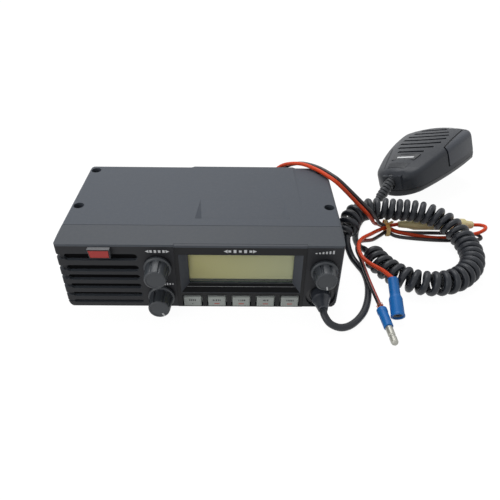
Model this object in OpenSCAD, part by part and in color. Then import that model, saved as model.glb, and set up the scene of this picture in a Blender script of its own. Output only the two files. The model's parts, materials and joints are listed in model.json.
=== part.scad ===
// Two-way mobile radio with a coiled-cord hand microphone and a fused power lead.
// The case stands on its base at the origin, the front panel faces -Y and the handset lies
// behind its right side. Every size is in millimetres.

/* [Case] */
// Width of the case across the cover
body_w = 180; // [178:1:182]
// Depth from the front panel to the heat sink fins
body_d = 101; // [100:1:104]
// Height of the case
body_h = 50; // [50:0.5:52]
// Depth of the front bezel, up to its seam with the cover
bezel_d = 22; // [21:0.5:23]
// Thickness of the case walls
wall = 2.2; // [1.8:0.1:2.4]
// How much narrower each side of the bezel is at the front
bezel_taper = 1.8; // [0.5:0.1:2]
// How far each side of the case leans in at the base
lean = 2; // [1:0.25:2]

/* [Front panel] */
// Left edge of the display panel
panel_x0 = -16; // [-17:0.5:-15.5]
// Right edge of the display panel
panel_x1 = 65.4; // [65:0.2:66]
// Depth of the bevelled recess round the display
recess_depth = 4.4; // [3.5:0.1:4.6]
// Width of one push button
button_w = 11.2; // [9:0.2:11.4]
// Height of one push button
button_h = 7.3; // [6:0.1:7.4]
// Travel of a push button
button_travel = 0.8; // [0.4:0.1:0.8]
// Length of a grille slot
slot_l = 45; // [40:1:46]

/* [Knobs] */
// Height of the channel and squelch knobs above the panel
tall_knob_h = 14; // [13:0.5:15]
// Height of the volume knob above the panel
low_knob_h = 12; // [12:0.5:14]
// Radius of a knob's skirt
skirt_r = 8.5; // [8:0.1:8.8]
// Radius of a knob's face
face_r = 6.6; // [6.2:0.1:6.8]

/* [Handset] */
// Length of the handset
mic_len = 92; // [91:0.5:93]
// Width of the handset at its widest, near the top
mic_w = 66.6; // [65:0.2:67]
// Width of the handset at the cord end
mic_end_w = 35.2; // [34:0.2:36]
// Thickness of the handset at its edge, near the top
mic_t = 27.4; // [27:0.2:28]
// Thickness of the handset at its edge, at the cord end
mic_end_t = 19; // [18.6:0.2:19.4]
// Travel of the talk bar
ptt_travel = 1.2; // [0.8:0.1:1.2]
// Heading of the handset on the ground, in degrees
mic_yaw = -43.3; // [-44:0.1:-43]
// Roll of the handset on its hang-up stud, in degrees
mic_roll = -20.9; // [-21.5:0.1:-20.5]
// Pitch of the handset, in degrees
mic_pitch = 2.9; // [2.5:0.1:3.2]

/* [Cords] */
// Diameter of the microphone cord
mic_cord_d = 4.8; // [4.2:0.1:4.8]
// Outer diameter of the curls
curl_od = 17.5; // [16.5:0.25:17.5]
// Diameter of one power wire
wire_d = 2.9; // [2.5:0.1:2.9]
// Diameter of the fuse holder
fuse_d = 10; // [9:0.5:10]

/* [Hidden] */
$fn = 40;
eps = 0.01;
// Gap between pieces that meet but belong to different shells
seam = 0.3;
front_y = -body_d / 2;
back_y = body_d / 2;
seam_y = front_y + bezel_d;
half_w = body_w / 2;
// Front wall of the bezel
front_wall = 2.5;

// Display panel and its window
panel_proud = 0.5;
panel_y = front_y - panel_proud;
panel_back = front_y + 2.2;
recess_front = [[-13.4, 13], [63.2, 43.6]];
recess_back = [[-8.2, 17.6], [58.2, 41.8]];
funnel_wall = 1.2;
funnel_back = panel_y + recess_depth + 1;
window_t = 1;
lcd_t = 2.4;
// Front circuit board
board_t = 1.6;
front_board_y = front_y + 9;

// Buttons, in a row under the display
button_n = 5;
button_pitch = 15.8;
button_mid_x = 25.2;
button_z = 6.2;
button_proud = 1.5;
button_gap = 0.9;

// Knob axes as [x, z]
channel_at = [-26.6, 34.1];
squelch_at = [-26.2, 10.4];
volume_at = [77, 31.8];
socket_at = [76.9, 10];
socket_r = 9.6;
plug_r = 6.1;
plug_len = 13;
shaft_r = 3;
shaft_end = -7;
bushing_r = 4.4;
knob_gap = 0.6;

// Grille over the speaker
slot_x1 = -38.5;
slot_x0 = slot_x1 - slot_l;
// Each slot as [height of its middle above the base, width]
slots = [[41, 5], [32.3, 4.8], [25.1, 4.4], [17.9, 4], [10.9, 3.4], [4.9, 2.4]];
groove_depth = 1.2;
speaker_at = [-58, 23.2];
speaker_r = 19.2;

// Badge block on the top edge of the grille
badge_x0 = -67.6;
badge_x1 = -54;
badge_z0 = 42.2;
badge_z1 = 48.8;
badge_proud = 3;
badge_draft = 1;

// Cover, its raised middle and its sloping recess
cover_y0 = seam_y + seam;
screw_x = 84.3;
screw_y = [-5.5, 44.5];
screw_head_r = 3.5;
post_x = 83.5;
post_r = 3;
plateau_x = [-11, 63.5];
plateau_h = 0.8;
ramp_x = [-5.5, 56.5];
ramp_y = [-20.5, 3];
ramp_depth = 1.9;
ramp_side = 4.5;
// Threaded holes for the mounting bracket, one in each side
bracket_y = 12;
bracket_z = 27;
bracket_r = 2.1;
bracket_boss_r = 5;
bracket_boss_l = 6;

// Heat sink at the rear
sink_x = 78;
sink_y0 = back_y - 8;
fin_n = 22;
fin_t = 1.8;
fin_root = 3;
antenna_at = [-52, 25];
jack_at = [-22, 14];
grommet_at = [47.5, 30];
antenna_r = 7.9;
antenna_len = 14;

// Main circuit board
board_z = 8;
board_x = 79;
board_y = [seam_y + 2, 40];
board_screws = [[-70, -20], [70, -20], [-70, 32], [70, 32]];

// Handset, in its own frame: x to the talk bar, y to the top, z out of the face
mic_at = [158.5, 82.3, 7.5];
mic_wide_y = 86;
mic_crown = 3.5;
mic_end_corner = 13;
mic_top_corner = 10;
mic_edge_r = 5;
mic_split = 5.5;
mic_wall = 2;
mic_stud_y = 48;
mic_stud_h = 7.2;
mic_slot_n = 7;
mic_slot_pitch = 7.8;
mic_slot_y0 = 34;
mic_slot_w = 2.6;
mic_slot_arch_r = 42;
// Blank trim plate in the face, as the middle of its recess and its size
trim_y = 25;
trim_size = [24, 10];
// Talk bar: its inner side, its lower and upper ends and its lowest part
ptt_x = 25;
ptt_y = [42.2, 84];
ptt_z = 9;
// Screw posts that join the two halves
mic_posts = [[0, 12], [-20, 74], [16, 84]];
// Strain relief, from inside the handset to the cord
relief_a = [155.7, 88.9, 21.7];
relief_b = [142.5, 76.3, 7.5];
relief_ribs = 6;

// Straight part of the microphone cord, from the plug to the coil
lead_route = [
  [77, -63.5, 10], [77.5, -67.5, 9], [81, -71.5, 6], [88, -72, 3.2], [96, -68, 2.5],
  [104.5, -58, 2.5], [110, -45, 2.5], [113, -30, 2.5], [112.8, -17, 2.5], [110, -8, 2.5],
  [107.2, -1, 3.4], [105, 4.5, 6.7], [104, 9, 10]];
// Straight part of the microphone cord, from the coil to the handset
tail_route = [
  [116.5, 4.5, 7.5], [114.5, 12, 4.5], [114, 25, 2.5], [118, 40, 2.5],
  [125, 54, 2.5], [132.5, 64.5, 2.5], [138.9, 72.7, 4], [142.5, 76.3, 7.5]];
// Middle line of the curls
coil_route = [
  [104, 9, 10], [104.5, 14, 14], [107, 24, 17.5], [112.5, 33.5, 19], [121, 40, 19.5],
  [133, 42.5, 19.5], [146, 41, 19.5], [159, 39.5, 19.5], [171, 36.5, 18.5], [181.5, 30.5, 16],
  [189.5, 21.5, 12.5], [193.5, 9.5, 10], [193.5, -3.5, 9], [189, -15.5, 9], [181, -25.5, 9],
  [170, -33, 9], [157.5, -36, 9], [145, -34.3, 9], [134.2, -28, 9], [126, -18, 9],
  [120.7, -6.5, 9], [116.5, 4.5, 7.5]];
// Distance between neighbouring curls on the inside of a bend
inner_pitch = 5.35;
rings_per_curl = 8;
coil_sides = 6;
coil_r = (curl_od - mic_cord_d) / 2;

// Power wires: over the cover's back corner, over the curls and down to the tie
red_route = [
  [46, 51.5, 30], [46, 56, 32], [49, 60, 40], [57, 59.5, 48], [69, 54.5, 52],
  [80, 46, 52.2], [89, 34, 52], [97, 28, 48], [113, 28.5, 31.5],
  [120.5, 26.8, 24.5], [126, 30.5, 16.5], [130, 35.9, 10], [134.5, 41.4, 5.5], [141, 43.25, 2.35],
  [151, 42, 5]];
black_route = [
  [49.6, 51.5, 30], [49.6, 56, 32], [52.6, 59.5, 39], [59.4, 61.2, 46], [70.6, 57.2, 50.9],
  [82.3, 48.5, 52.2], [91.8, 36.3, 52], [98.8, 30.9, 48.6], [115, 30.9, 32.9],
  [122.8, 28.3, 26.3], [129, 31, 18.2], [133, 34.8, 11.6], [136.6, 38.4, 7.4], [141, 40.4, 4.7],
  [152, 36, 1.6], [180, 35, 1.5], [208, 34.5, 1.5], [214.5, 31, 1.5], [210, 26, 1.5],
  [180, 25, 1.5], [150, 29.2, 1.5], [141, 34.5, 2.5], [134, 28.6, 3.2], [124.5, 16.5, 7.6],
  [113.5, 8, 12], [108.7, -3.5, 13.6], [109.7, -14.3, 12.5], [112.3, -33, 8.5],
  [116.5, -56.4, 4.2]];
fused_route = [
  [212, 42, 5], [218, 41, 5.4], [220, 37, 6.4], [216.5, 32, 6.4], [207, 30.3, 3.6],
  [180, 28.4, 1.5], [150, 33, 3.2], [141, 36.9, 5.05], [132.5, 29.8, 7.4], [124.5, 20, 11],
  [113.5, 6.2, 15.6], [108.7, -6, 17.8], [108.7, -17.3, 18], [113.3, -24.8, 17.2],
  [121, -31.3, 16.2], [126.5, -37.3, 14.4]];
wire_sides = 8;
cord_sides = 10;

// Fuse holder along X
fuse_x = [151, 212];
fuse_y = 42;
fuse_z = 5;
// Blue terminals: the socket end of the red wire and the pin end of the black wire
socket_a = [126.5, -37.3, 14.4];
socket_b = [125.4, -63.8, 4.7];
pin_a = [116.5, -56.4, 4.2];
pin_b = [117.7, -72.3, 3.8];
pin_tip_len = 14;
pin_r = 2.3;
tie_x = 141;

// Points of an arc, from angle a0 to a1
function arc(x, y, r, a0, a1, n = 5) =
  [for (i = [0:n]) [x + r * cos(a0 + (a1 - a0) * i / n), y + r * sin(a0 + (a1 - a0) * i / n)]];

// Rectangle with its own radius at the lower and the upper corners
function round_rect(x0, y0, x1, y1, lower, upper) = concat(
  arc(x0 + lower, y0 + lower, lower, 180, 270),
  arc(x1 - lower, y0 + lower, lower, 270, 360),
  arc(x1 - upper, y1 - upper, upper, 0, 90),
  arc(x0 + upper, y1 - upper, upper, 90, 180));

function unit(v) = v / norm(v);

// Smooth curve through the points of a route; u runs from 0 to the last point's number
function blend(p, q, r, s, t) = 0.5 * (2 * q + (r - p) * t
  + (2 * p - 5 * q + 4 * r - s) * t * t + (3 * q - p - 3 * r + s) * t * t * t);
function route_at(route, u) =
  let (last = len(route) - 1, i = min(floor(u), last - 1),
       before = i == 0 ? 2 * route[0] - route[1] : route[i - 1],
       after = i == last - 1 ? 2 * route[last] - route[last - 1] : route[i + 2])
  blend(before, route[i], route[i + 1], after, u - i);

// Directions along a list of points, and sideways vectors carried along them without a twist
function directions(p) = [for (i = [0:len(p) - 1])
  unit(p[min(i + 1, len(p) - 1)] - p[max(i - 1, 0)])];
function square_to(v, d) = unit(v - (v * d) * d);
function sideways(d, i, v) = i == len(d) ? [] :
  let (w = square_to(v, d[i])) concat([w], sideways(d, i + 1, w));

// One closed tube of triangles along a list of points
module tube(p, r, sides, first) {
  d = directions(p);
  w = sideways(d, 0, first);
  rings = [for (i = [0:len(p) - 1]) for (k = [0:sides - 1])
    p[i] + r * (cos(360 * k / sides) * w[i] + sin(360 * k / sides) * cross(d[i], w[i]))];
  last = (len(p) - 1) * sides;
  walls = [for (i = [0:len(p) - 2]) for (k = [0:sides - 1])
    let (a = i * sides + k, b = i * sides + (k + 1) % sides)
    each [[a, a + sides, b], [b, a + sides, b + sides]]];
  caps = [for (k = [1:sides - 2]) each [[0, k, k + 1], [last, last + k + 1, last + k]]];
  polyhedron(rings, concat(walls, caps));
}

// Draws its children with their z axis running from point a to point b
module from_to(a, b) {
  d = b - a;
  translate(a)
    rotate([0, acos(d[2] / norm(d)), atan2(d[1], d[0])])
      children();
}

// Draws a flat XZ outline as a solid between two depths
module along_y(y0, y1) {
  translate([0, y1, 0])
    rotate([90, 0, 0])
      linear_extrude(y1 - y0)
        children();
}

// Puts a child's z axis out of the front face at [x, z]
module on_front(at) {
  translate([at[0], front_y, at[1]])
    rotate([90, 0, 0])
      children();
}

// Puts a child's z axis out of the rear face at [x, z]
module on_back(at) {
  translate([at[0], back_y, at[1]])
    rotate([-90, 0, 0])
      children();
}

module box(low, high) {
  translate(low)
    cube(high - low);
}

// Front view of the case: its sides lean in towards the base
module case_profile() {
  lower = 6;
  upper = 2.6;
  polygon(concat(
    arc(-half_w + lean + lower, lower, lower, 180, 270),
    arc(half_w - lean - lower, lower, lower, 270, 360),
    arc(half_w - upper, body_h - upper, upper, 0, 90),
    arc(-half_w + upper, body_h - upper, upper, 90, 180)));
}

// Lower tray: floor, low sides, posts for the cover and for the main board
module bottom_case() {
  color("#2b2e31")
  difference() {
    union() {
      intersection() {
        along_y(cover_y0, back_y)
          case_profile();
        box([-half_w, cover_y0, 0], [half_w, back_y, 12]);
      }
      for (x = [-1, 1]) for (y = screw_y)
        translate([x * post_x, y, 1])
          cylinder(r = post_r, h = 39.5);
    }
    difference() {
      box([-half_w + wall + lean, cover_y0 - 1, wall], [half_w - wall - lean, back_y - wall, 13]);
      for (x = [-1, 1]) for (y = screw_y)
        translate([x * post_x, y, 0])
          cylinder(r = post_r, h = 14);
      for (p = board_screws)
        translate([p[0], p[1], 0])
          cylinder(r = 3.2, h = board_z);
    }
    box([-sink_x - seam, sink_y0 - seam, wall], [sink_x + seam, back_y + 1, 13]);
    for (x = [-1, 1]) for (y = screw_y)
      translate([x * screw_x, y, 20])
        cylinder(r = 1.5, h = 30);
    for (p = board_screws)
      translate([p[0], p[1], 3])
        cylinder(r = 1.25, h = 10);
  }
}

// Cover: top and side walls, screw wells, raised middle, sloping recess, bracket bosses
module top_cover() {
  color("#5f6469")
  difference() {
    union() {
      intersection() {
        along_y(cover_y0, back_y)
          case_profile();
        linear_extrude(60)
          polygon(concat(
            arc(half_w - 4, back_y - 4, 4, 0, 90), arc(-half_w + 4, back_y - 4, 4, 90, 180),
            [[-half_w, cover_y0], [half_w, cover_y0]]));
        box([-half_w, cover_y0, 12 + seam], [half_w, back_y, body_h]);
      }
      raised_middle();
    }
    difference() {
      box([-half_w + wall + lean / 2, cover_y0 - 1, 11], [half_w - wall - lean / 2, back_y - wall, body_h - wall]);
      for (x = [-1, 1]) for (y = screw_y)
        translate([x * screw_x, y, 41])
          cylinder(r = screw_head_r + 1.4, h = 10);
      for (x = [-1, 1])
        translate([x * (half_w - 1), bracket_y, bracket_z])
          rotate([0, -90 * x, 0])
            cylinder(r = bracket_boss_r, h = bracket_boss_l - 1);
      under_ramp();
    }
    box([-sink_x - seam, sink_y0 - seam, 11], [sink_x + seam, back_y + 1, body_h - wall]);
    for (x = [-1, 1]) for (y = screw_y) {
      translate([x * screw_x, y, 44.5])
        cylinder(r = screw_head_r, h = 10);
      translate([x * screw_x, y, 30])
        cylinder(r = 1.7, h = 20);
    }
    for (x = [-1, 1])
      translate([x * (half_w + 1), bracket_y, bracket_z])
        rotate([0, -90 * x, 0])
          cylinder(r = bracket_r, h = bracket_boss_l + 2);
    ramp_cut();
  }
}

// Raised panel along the middle of the cover; it sinks to nothing at the front
module raised_middle() {
  slope = 2.4;
  hull() {
    box([plateau_x[0] - slope, cover_y0 + 1, body_h - 1], [plateau_x[1] + slope, back_y - eps, body_h - 0.02]);
    box([plateau_x[0], back_y - 0.1, body_h], [plateau_x[1], back_y - eps, body_h + plateau_h]);
  }
}

// Sloping recess in the roof: deepest at the front, nothing at the back, with leaning sides
module ramp_cut() {
  hull() {
    box([ramp_x[0] + ramp_side / 2, ramp_y[1], body_h + 0.3], [ramp_x[1] - ramp_side / 2, ramp_y[1] + eps, body_h + 2]);
    box([ramp_x[0], ramp_y[0], body_h + 0.1], [ramp_x[1], ramp_y[0] + eps, body_h + 2]);
    box([ramp_x[0] + ramp_side, ramp_y[0] + 0.6, body_h - ramp_depth],
        [ramp_x[1] - ramp_side, ramp_y[0] + 0.6 + eps, body_h]);
  }
}

// Thicker roof below the recess
module under_ramp() {
  box([ramp_x[0] - 2, ramp_y[0] - 2, body_h - wall - 1], [ramp_x[1] + 2, ramp_y[1], body_h]);
}

// Bezel: tapered front frame with the grille and the holes for knobs and socket
module front_bezel() {
  color("#3a3d42")
  difference() {
    intersection() {
      along_y(front_y, seam_y)
        case_profile();
      linear_extrude(60)
        polygon([
          [-half_w, seam_y], [-half_w + bezel_taper - 0.4, front_y + 2.5],
          [-half_w + bezel_taper + 0.5, front_y + 0.7], [-half_w + bezel_taper + 1.7, front_y],
          [half_w - bezel_taper - 1.7, front_y], [half_w - bezel_taper - 0.5, front_y + 0.7],
          [half_w - bezel_taper + 0.4, front_y + 2.5], [half_w, seam_y]]);
      translate([-half_w, 0, 0])
        rotate([90, 0, 90])
          linear_extrude(body_w)
            polygon([
              [front_y, 0.8], [front_y + 0.8, 0], [seam_y, 0],
              [seam_y, body_h], [front_y + 0.9, body_h], [front_y, body_h - 0.9]]);
    }
    box([-half_w + wall + bezel_taper, front_y + front_wall, wall],
        [half_w - wall - bezel_taper, seam_y + 1, body_h - wall]);
    box([panel_x0, front_y - 1, -1], [panel_x1, panel_back + 0.2, body_h + 1]);
    box([panel_x0, front_y, wall], [panel_x1, front_y + front_wall + 1, body_h - wall]);
    grille();
    for (at = [channel_at, squelch_at, volume_at])
      on_front(at)
        translate([0, 0, -4])
          cylinder(r = bushing_r + 0.2, h = 6);
    on_front(socket_at)
      translate([0, 0, -9])
        cylinder(r = socket_r + 0.15, h = 11);
  }
}

// Slots over the speaker; each runs on round the side of the bezel as a groove
module grille() {
  for (slot = slots) {
    low = slot[0] - slot[1] / 2;
    high = slot[0] + slot[1] / 2;
    along_y(front_y - 1, front_y + 5)
      polygon(round_rect(slot_x0, low, slot_x1, high, slot[1] / 2 - 0.1, slot[1] / 2 - 0.1));
    box([-half_w - 1, front_y - 1, low + 0.8], [slot_x0 + 3, front_y + groove_depth, high - 0.5]);
    box([-half_w - 1, front_y - 1, low + 0.8], [-half_w + lean + bezel_taper + 0.4, front_y + 9, high - 0.5]);
  }
}

// Flat rectangle used for the bevelled recess, given as [[x0, z0], [x1, z1]]
module slab(r, y, grow) {
  box([r[0][0] - grow, y, r[0][1] - grow], [r[1][0] + grow, y + eps, r[1][1] + grow]);
}

function button_x(i) = button_mid_x + (i - (button_n + 1) / 2) * button_pitch;

// Display panel: bevelled recess, window opening and button openings
module display_panel() {
  gap = 0.15;
  color("#34373b")
  difference() {
    union() {
      translate([panel_x0 + gap, 0, 0])
        rotate([90, 0, 90])
          linear_extrude(panel_x1 - panel_x0 - 2 * gap)
            polygon([
              [panel_y, 1], [panel_y + 0.9, 0.2], [panel_back, 0.2],
              [panel_back, body_h], [panel_y + 0.9, body_h], [panel_y, body_h - 0.9]]);
      hull() {
        slab(recess_front, panel_back - 0.5, funnel_wall - 1.4);
        slab(recess_back, funnel_back, funnel_wall);
      }
    }
    hull() {
      slab(recess_front, panel_y - eps, 0);
      slab(recess_back, panel_y + recess_depth, 0);
    }
    box([recess_back[0][0], panel_y, recess_back[0][1]], [recess_back[1][0], funnel_back + 1, recess_back[1][1]]);
    for (i = [1:button_n])
      box([button_x(i) - button_w / 2 - button_gap, panel_y - 1, button_z - button_h / 2 - button_gap],
          [button_x(i) + button_w / 2 + button_gap, panel_back + 1, button_z + button_h / 2 + button_gap]);
  }
}

module display_window() {
  y = funnel_back + 0.1;
  color([0.75, 0.8, 0.75, 0.4])
  box([recess_back[0][0] - 1.5, y, recess_back[0][1] - 1.5],
      [recess_back[1][0] + 1.5, y + window_t, recess_back[1][1] + 1.5]);
}

module lcd_panel() {
  y = funnel_back + window_t + 0.2;
  color("#85855f")
  box([recess_back[0][0] - 1, y, recess_back[0][1]],
      [recess_back[1][0] + 1, y + lcd_t, recess_back[1][1] + 2]);
}

// Front view of the badge, narrower at its lower edge
module badge_outline(inset) {
  polygon([
    [badge_x0 + badge_draft + inset, badge_z0 + inset], [badge_x1 - inset, badge_z0 + inset],
    [badge_x1 - inset, badge_z1 - inset], [badge_x0 + inset, badge_z1 - inset]]);
}

// Block that carries the badge
module badge_block() {
  color("#6b6f72")
  difference() {
    along_y(front_y - badge_proud, front_y - eps)
      badge_outline(0);
    along_y(front_y - badge_proud - 1, front_y - badge_proud + 0.7)
      badge_outline(0.5);
  }
}

// Blank badge plate
module badge_plate() {
  color("#a8231f")
  along_y(front_y - badge_proud - 0.1, front_y - badge_proud + 0.7)
    badge_outline(0.6);
}

// One push button: cap, retaining flange behind the panel and plunger
module button(i) {
  flange_y = panel_back + 0.15;
  color("#9fa4a0")
  translate([button_x(i), 0, button_z]) {
    box([-button_w / 2, panel_y - button_proud + 0.4, -button_h / 2], [button_w / 2, flange_y + eps, button_h / 2]);
    box([-button_w / 2 + 0.4, panel_y - button_proud, -button_h / 2 + 0.4],
        [button_w / 2 - 0.4, panel_y - button_proud + 0.5, button_h / 2 - 0.4]);
    box([-button_w / 2 - 1.5, flange_y, -button_h / 2], [button_w / 2 + 1.5, flange_y + 0.8, button_h / 2 + 1.5]);
    box([-1.5, flange_y + 0.7, -1.5], [1.5, front_board_y - 2.2 - button_travel, 1.5]);
  }
}
module button_1() button(1);
module button_2() button(2);
module button_3() button(3);
module button_4() button(4);
module button_5() button(5);

// Rubber sheet with a low dome under each button
module keypad_membrane() {
  color("#b8b8b0") {
    box([panel_x0 + 1, front_board_y - 0.8, 2.6], [panel_x1 - 1, front_board_y - 0.05, 10.6]);
    for (i = [1:button_n])
      translate([button_x(i), front_board_y - 0.7, button_z])
        rotate([90, 0, 0])
          cylinder(r = 2.6, h = 1.2);
  }
}

// Knob with a skirt, eight narrow grooves, a rimmed face and a hollow underside
module knob(h) {
  depth = 5.4;
  hollow_r = 6.3;
  groove_r = 1.1;
  color("#3f4347")
  difference() {
    rotate_extrude()
      polygon([
        [hollow_r, knob_gap], [skirt_r - 0.3, knob_gap], [skirt_r, knob_gap + 0.3], [skirt_r, 2.4],
        [skirt_r - 0.4, 2.9], [skirt_r - 0.9, 3.1], [face_r + 0.2, h - 1.1], [face_r - 0.1, h - 0.4],
        [face_r - 0.7, h], [face_r - 1.2, h], [face_r - 1.4, h - 0.35], [0, h - 0.15],
        [0, h - 1.8], [shaft_r + 0.05, h - 1.8], [shaft_r + 0.05, depth], [hollow_r, depth]]);
    for (k = [0:7])
      rotate([0, 0, 45 * k + 22.5])
        translate([face_r + 0.9, 0, 3.6])
          cylinder(r = groove_r, h = h);
  }
}

module shaft(h) {
  color("#b9bcbe")
  translate([0, 0, shaft_end])
    cylinder(r = shaft_r, h = h - 1.9 - shaft_end);
}

// Turning control: body behind the panel, threaded bushing and nut
module control(size) {
  body_front = -front_wall - 0.1;
  body_back = -(front_board_y - front_y) + 0.1;
  color("#8f9498")
  difference() {
    union() {
      translate([-size / 2, -size / 2, body_back])
        cube([size, size, body_front - body_back]);
      translate([0, 0, body_front - eps])
        cylinder(r = bushing_r, h = 7);
      translate([0, 0, 0.1])
        cylinder(r = 5.7, h = 2, $fn = 6);
    }
    translate([0, 0, shaft_end - 0.3])
      cylinder(r = shaft_r + 0.06, h = 20);
  }
}

module channel_knob() on_front(channel_at) knob(tall_knob_h);
module squelch_knob() on_front(squelch_at) knob(tall_knob_h);
module volume_knob() on_front(volume_at) knob(low_knob_h);
module channel_shaft() on_front(channel_at) shaft(tall_knob_h);
module squelch_shaft() on_front(squelch_at) shaft(tall_knob_h);
module volume_shaft() on_front(volume_at) shaft(low_knob_h);
module channel_encoder() on_front(channel_at) control(13.6);
module squelch_pot() on_front(squelch_at) control(12.4);
module volume_pot() on_front(volume_at) control(12.4);

// Round socket for the microphone plug
module mic_socket() {
  color("#26282b")
  on_front(socket_at)
    difference() {
      translate([0, 0, -8])
        cylinder(r = socket_r, h = 6.2);
      translate([0, 0, -3])
        cylinder(r = plug_r + 1, h = 5);
      translate([0, 0, -7])
        cylinder(r = 4.1, h = 5);
    }
}

// Moulded plug with its tapering boot
module mic_plug() {
  color("#24262a")
  on_front(socket_at)
    rotate_extrude()
      polygon([
        [0, -6.5], [4, -6.5], [4, -2.8], [plug_r, -2.8], [plug_r, 3.2], [plug_r - 0.7, 4.4],
        [plug_r - 1.6, 7.5], [3.5, 10.8], [3.1, plug_len - 0.4], [2.8, plug_len], [0, plug_len]]);
}

// Loudspeaker basket and magnet
module speaker_frame() {
  color("#6d7072")
  on_front(speaker_at)
    rotate_extrude()
      polygon([
        [16, -4.2], [16, -2.8], [speaker_r, -2.8], [speaker_r, -4.2], [17.6, -4.4],
        [11.5, -11.4], [11.5, -18], [0, -18], [0, -10.6], [10.4, -10.6]]);
}

// Paper cone and dust cap
module speaker_cone() {
  color("#3d3f42")
  on_front(speaker_at)
    rotate_extrude()
      polygon([
        [15.6, -3], [15.6, -3.8], [14.6, -4.6], [5, -9.8], [0, -9.8], [0, -7.2],
        [3.5, -7.8], [5, -8.6], [14, -3.8]]);
}

module main_board() {
  color("#2f6b45")
  difference() {
    box([-board_x, board_y[0], board_z + 0.1], [board_x, board_y[1], board_z + board_t]);
    for (p = board_screws)
      translate([p[0], p[1], board_z - 1])
        cylinder(r = 1.7, h = 5);
  }
}

module front_board() {
  color("#2f6b45")
  difference() {
    box([-36, front_board_y, 3.4], [85, front_board_y + board_t, 46.6]);
    for (at = [channel_at, squelch_at, volume_at])
      on_front(at)
        translate([0, 0, -13])
          cylinder(r = 1.2, h = 5);
  }
}

module shield_can() {
  color("#b7babb")
  difference() {
    box([-10, -18, board_z + board_t + 0.05], [44, 18, 22]);
    box([-9.4, -17.4, board_z], [43.4, 17.4, 21.4]);
  }
}

// Output transistor clamped to the heat sink
module power_transistor() {
  color("#4a4d50") {
    box([8, sink_y0 - 4.6, 12], [22, sink_y0 - 0.05, 24]);
    for (x = [10, 15, 20])
      box([x - 0.5, sink_y0 - 3, board_z + board_t + 0.05], [x + 0.5, sink_y0 - 2, 12.5]);
  }
}

module capacitors() {
  color("#25355a")
  for (p = [[-62, -8, 5], [-48, -8, 5], [-62, 8, 4], [58, 20, 6.3]])
    translate([p[0], p[1], board_z + board_t + 0.05])
      cylinder(r = p[2], h = 12 + p[2]);
}

// Finned heat sink with flat pads round the sockets
module heat_sink() {
  color("#2e3033")
  difference() {
    union() {
      box([-sink_x, sink_y0, wall + 0.1], [sink_x, sink_y0 + fin_root, body_h - wall - 0.1]);
      for (i = [0:fin_n - 1])
        translate([-sink_x + i * (2 * sink_x - fin_t) / (fin_n - 1), sink_y0 + fin_root - eps, wall + 0.1])
          cube([fin_t, back_y - sink_y0 - fin_root + eps, body_h - 2 * wall - 0.2]);
      for (pad = [[antenna_at, 14], [jack_at, 8], [grommet_at, 8]])
        box([pad[0][0] - pad[1], sink_y0 + 1, pad[0][1] - pad[1]],
            [pad[0][0] + pad[1], back_y, pad[0][1] + pad[1]]);
    }
    on_back(antenna_at)
      translate([0, 0, -10])
        cylinder(r = 5.2, h = 12);
    on_back(jack_at)
      translate([0, 0, -10])
        cylinder(r = 4.2, h = 12);
    on_back(grommet_at)
      translate([0, 0, -10])
        cylinder(r = 5.2, h = 12);
  }
}

// Aerial socket: square flange, threaded barrel, centre contact
module antenna_socket() {
  color("#c2c4c6")
  on_back(antenna_at)
    difference() {
      union() {
        translate([-12.5, -12.5, 0.05])
          cube([25, 25, 2]);
        translate([0, 0, 1])
          cylinder(r = antenna_r, h = antenna_len + 0.8);
        translate([0, 0, -9])
          cylinder(r = 5, h = 10);
      }
      translate([0, 0, 3])
        cylinder(r = 6, h = 20);
      translate([0, 0, 1])
        cylinder(r = 2, h = 20);
    }
}

// Socket for an extension loudspeaker
module speaker_jack() {
  color("#1d1e20")
  on_back(jack_at)
    difference() {
      union() {
        translate([0, 0, -9.5])
          cylinder(r = 4, h = 10.6);
        translate([0, 0, 0.05])
          cylinder(r = 5.4, h = 1.6);
      }
      translate([0, 0, -8])
        cylinder(r = 1.8, h = 12);
    }
}

// Rubber grommet round both power wires
module power_grommet() {
  color("#1b1c1e")
  on_back(grommet_at)
    union() {
      translate([0, 0, -8.8])
        cylinder(r = 5, h = 9);
      translate([0, 0, 0.05])
        cylinder(r = 6.6, h = 0.95);
    }
}

module screw(r, head_r, head_h, len) {
  difference() {
    union() {
      cylinder(r = head_r, h = head_h);
      translate([0, 0, -len])
        cylinder(r = r, h = len + eps);
    }
    for (a = [0, 90])
      rotate([0, 0, a])
        translate([-head_r * 0.6, -0.35, head_h - 0.8])
          cube([head_r * 1.2, 0.7, 2]);
  }
}

// Screws of the cover and of the main board
module case_screws() {
  color("#1f2022") {
    for (x = [-1, 1]) for (y = screw_y)
      translate([x * screw_x, y, 44.55])
        screw(1.45, 3, 2, 14);
    for (p = board_screws)
      translate([p[0], p[1], board_z + board_t + 0.05])
        screw(1.2, 2.6, 1.8, 5.5);
  }
}

module place_mic() {
  translate(mic_at)
    rotate([mic_pitch, mic_roll, mic_yaw])
      children();
}

// How far the handset has grown at y, from 0 at the cord end to 1 at its widest place
function mic_growth(y) = 1 - pow(1 - y / mic_wide_y, 2);
// What a corner of radius r takes away at distance d from the end
function corner_cut(d, r) = d >= r ? 0 : r - sqrt(r * r - pow(r - max(d, 0), 2));
// Half width and height of the face's edge at y, on a form that is inset all round
function mic_half(y, inset) = (mic_end_w + (mic_w - mic_end_w) * mic_growth(y)) / 2 - inset
  - corner_cut(y - inset, mic_end_corner - inset) - corner_cut(mic_len - inset - y, mic_top_corner - inset);
function mic_edge(y, inset) = mic_end_t + (mic_t - mic_end_t) * mic_growth(y) - inset
  - corner_cut(y - inset, mic_edge_r) - corner_cut(mic_len - inset - y, mic_edge_r);
// Height of the face's middle line at y
function mic_face(y) = mic_edge(y, 0) + mic_crown;

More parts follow.
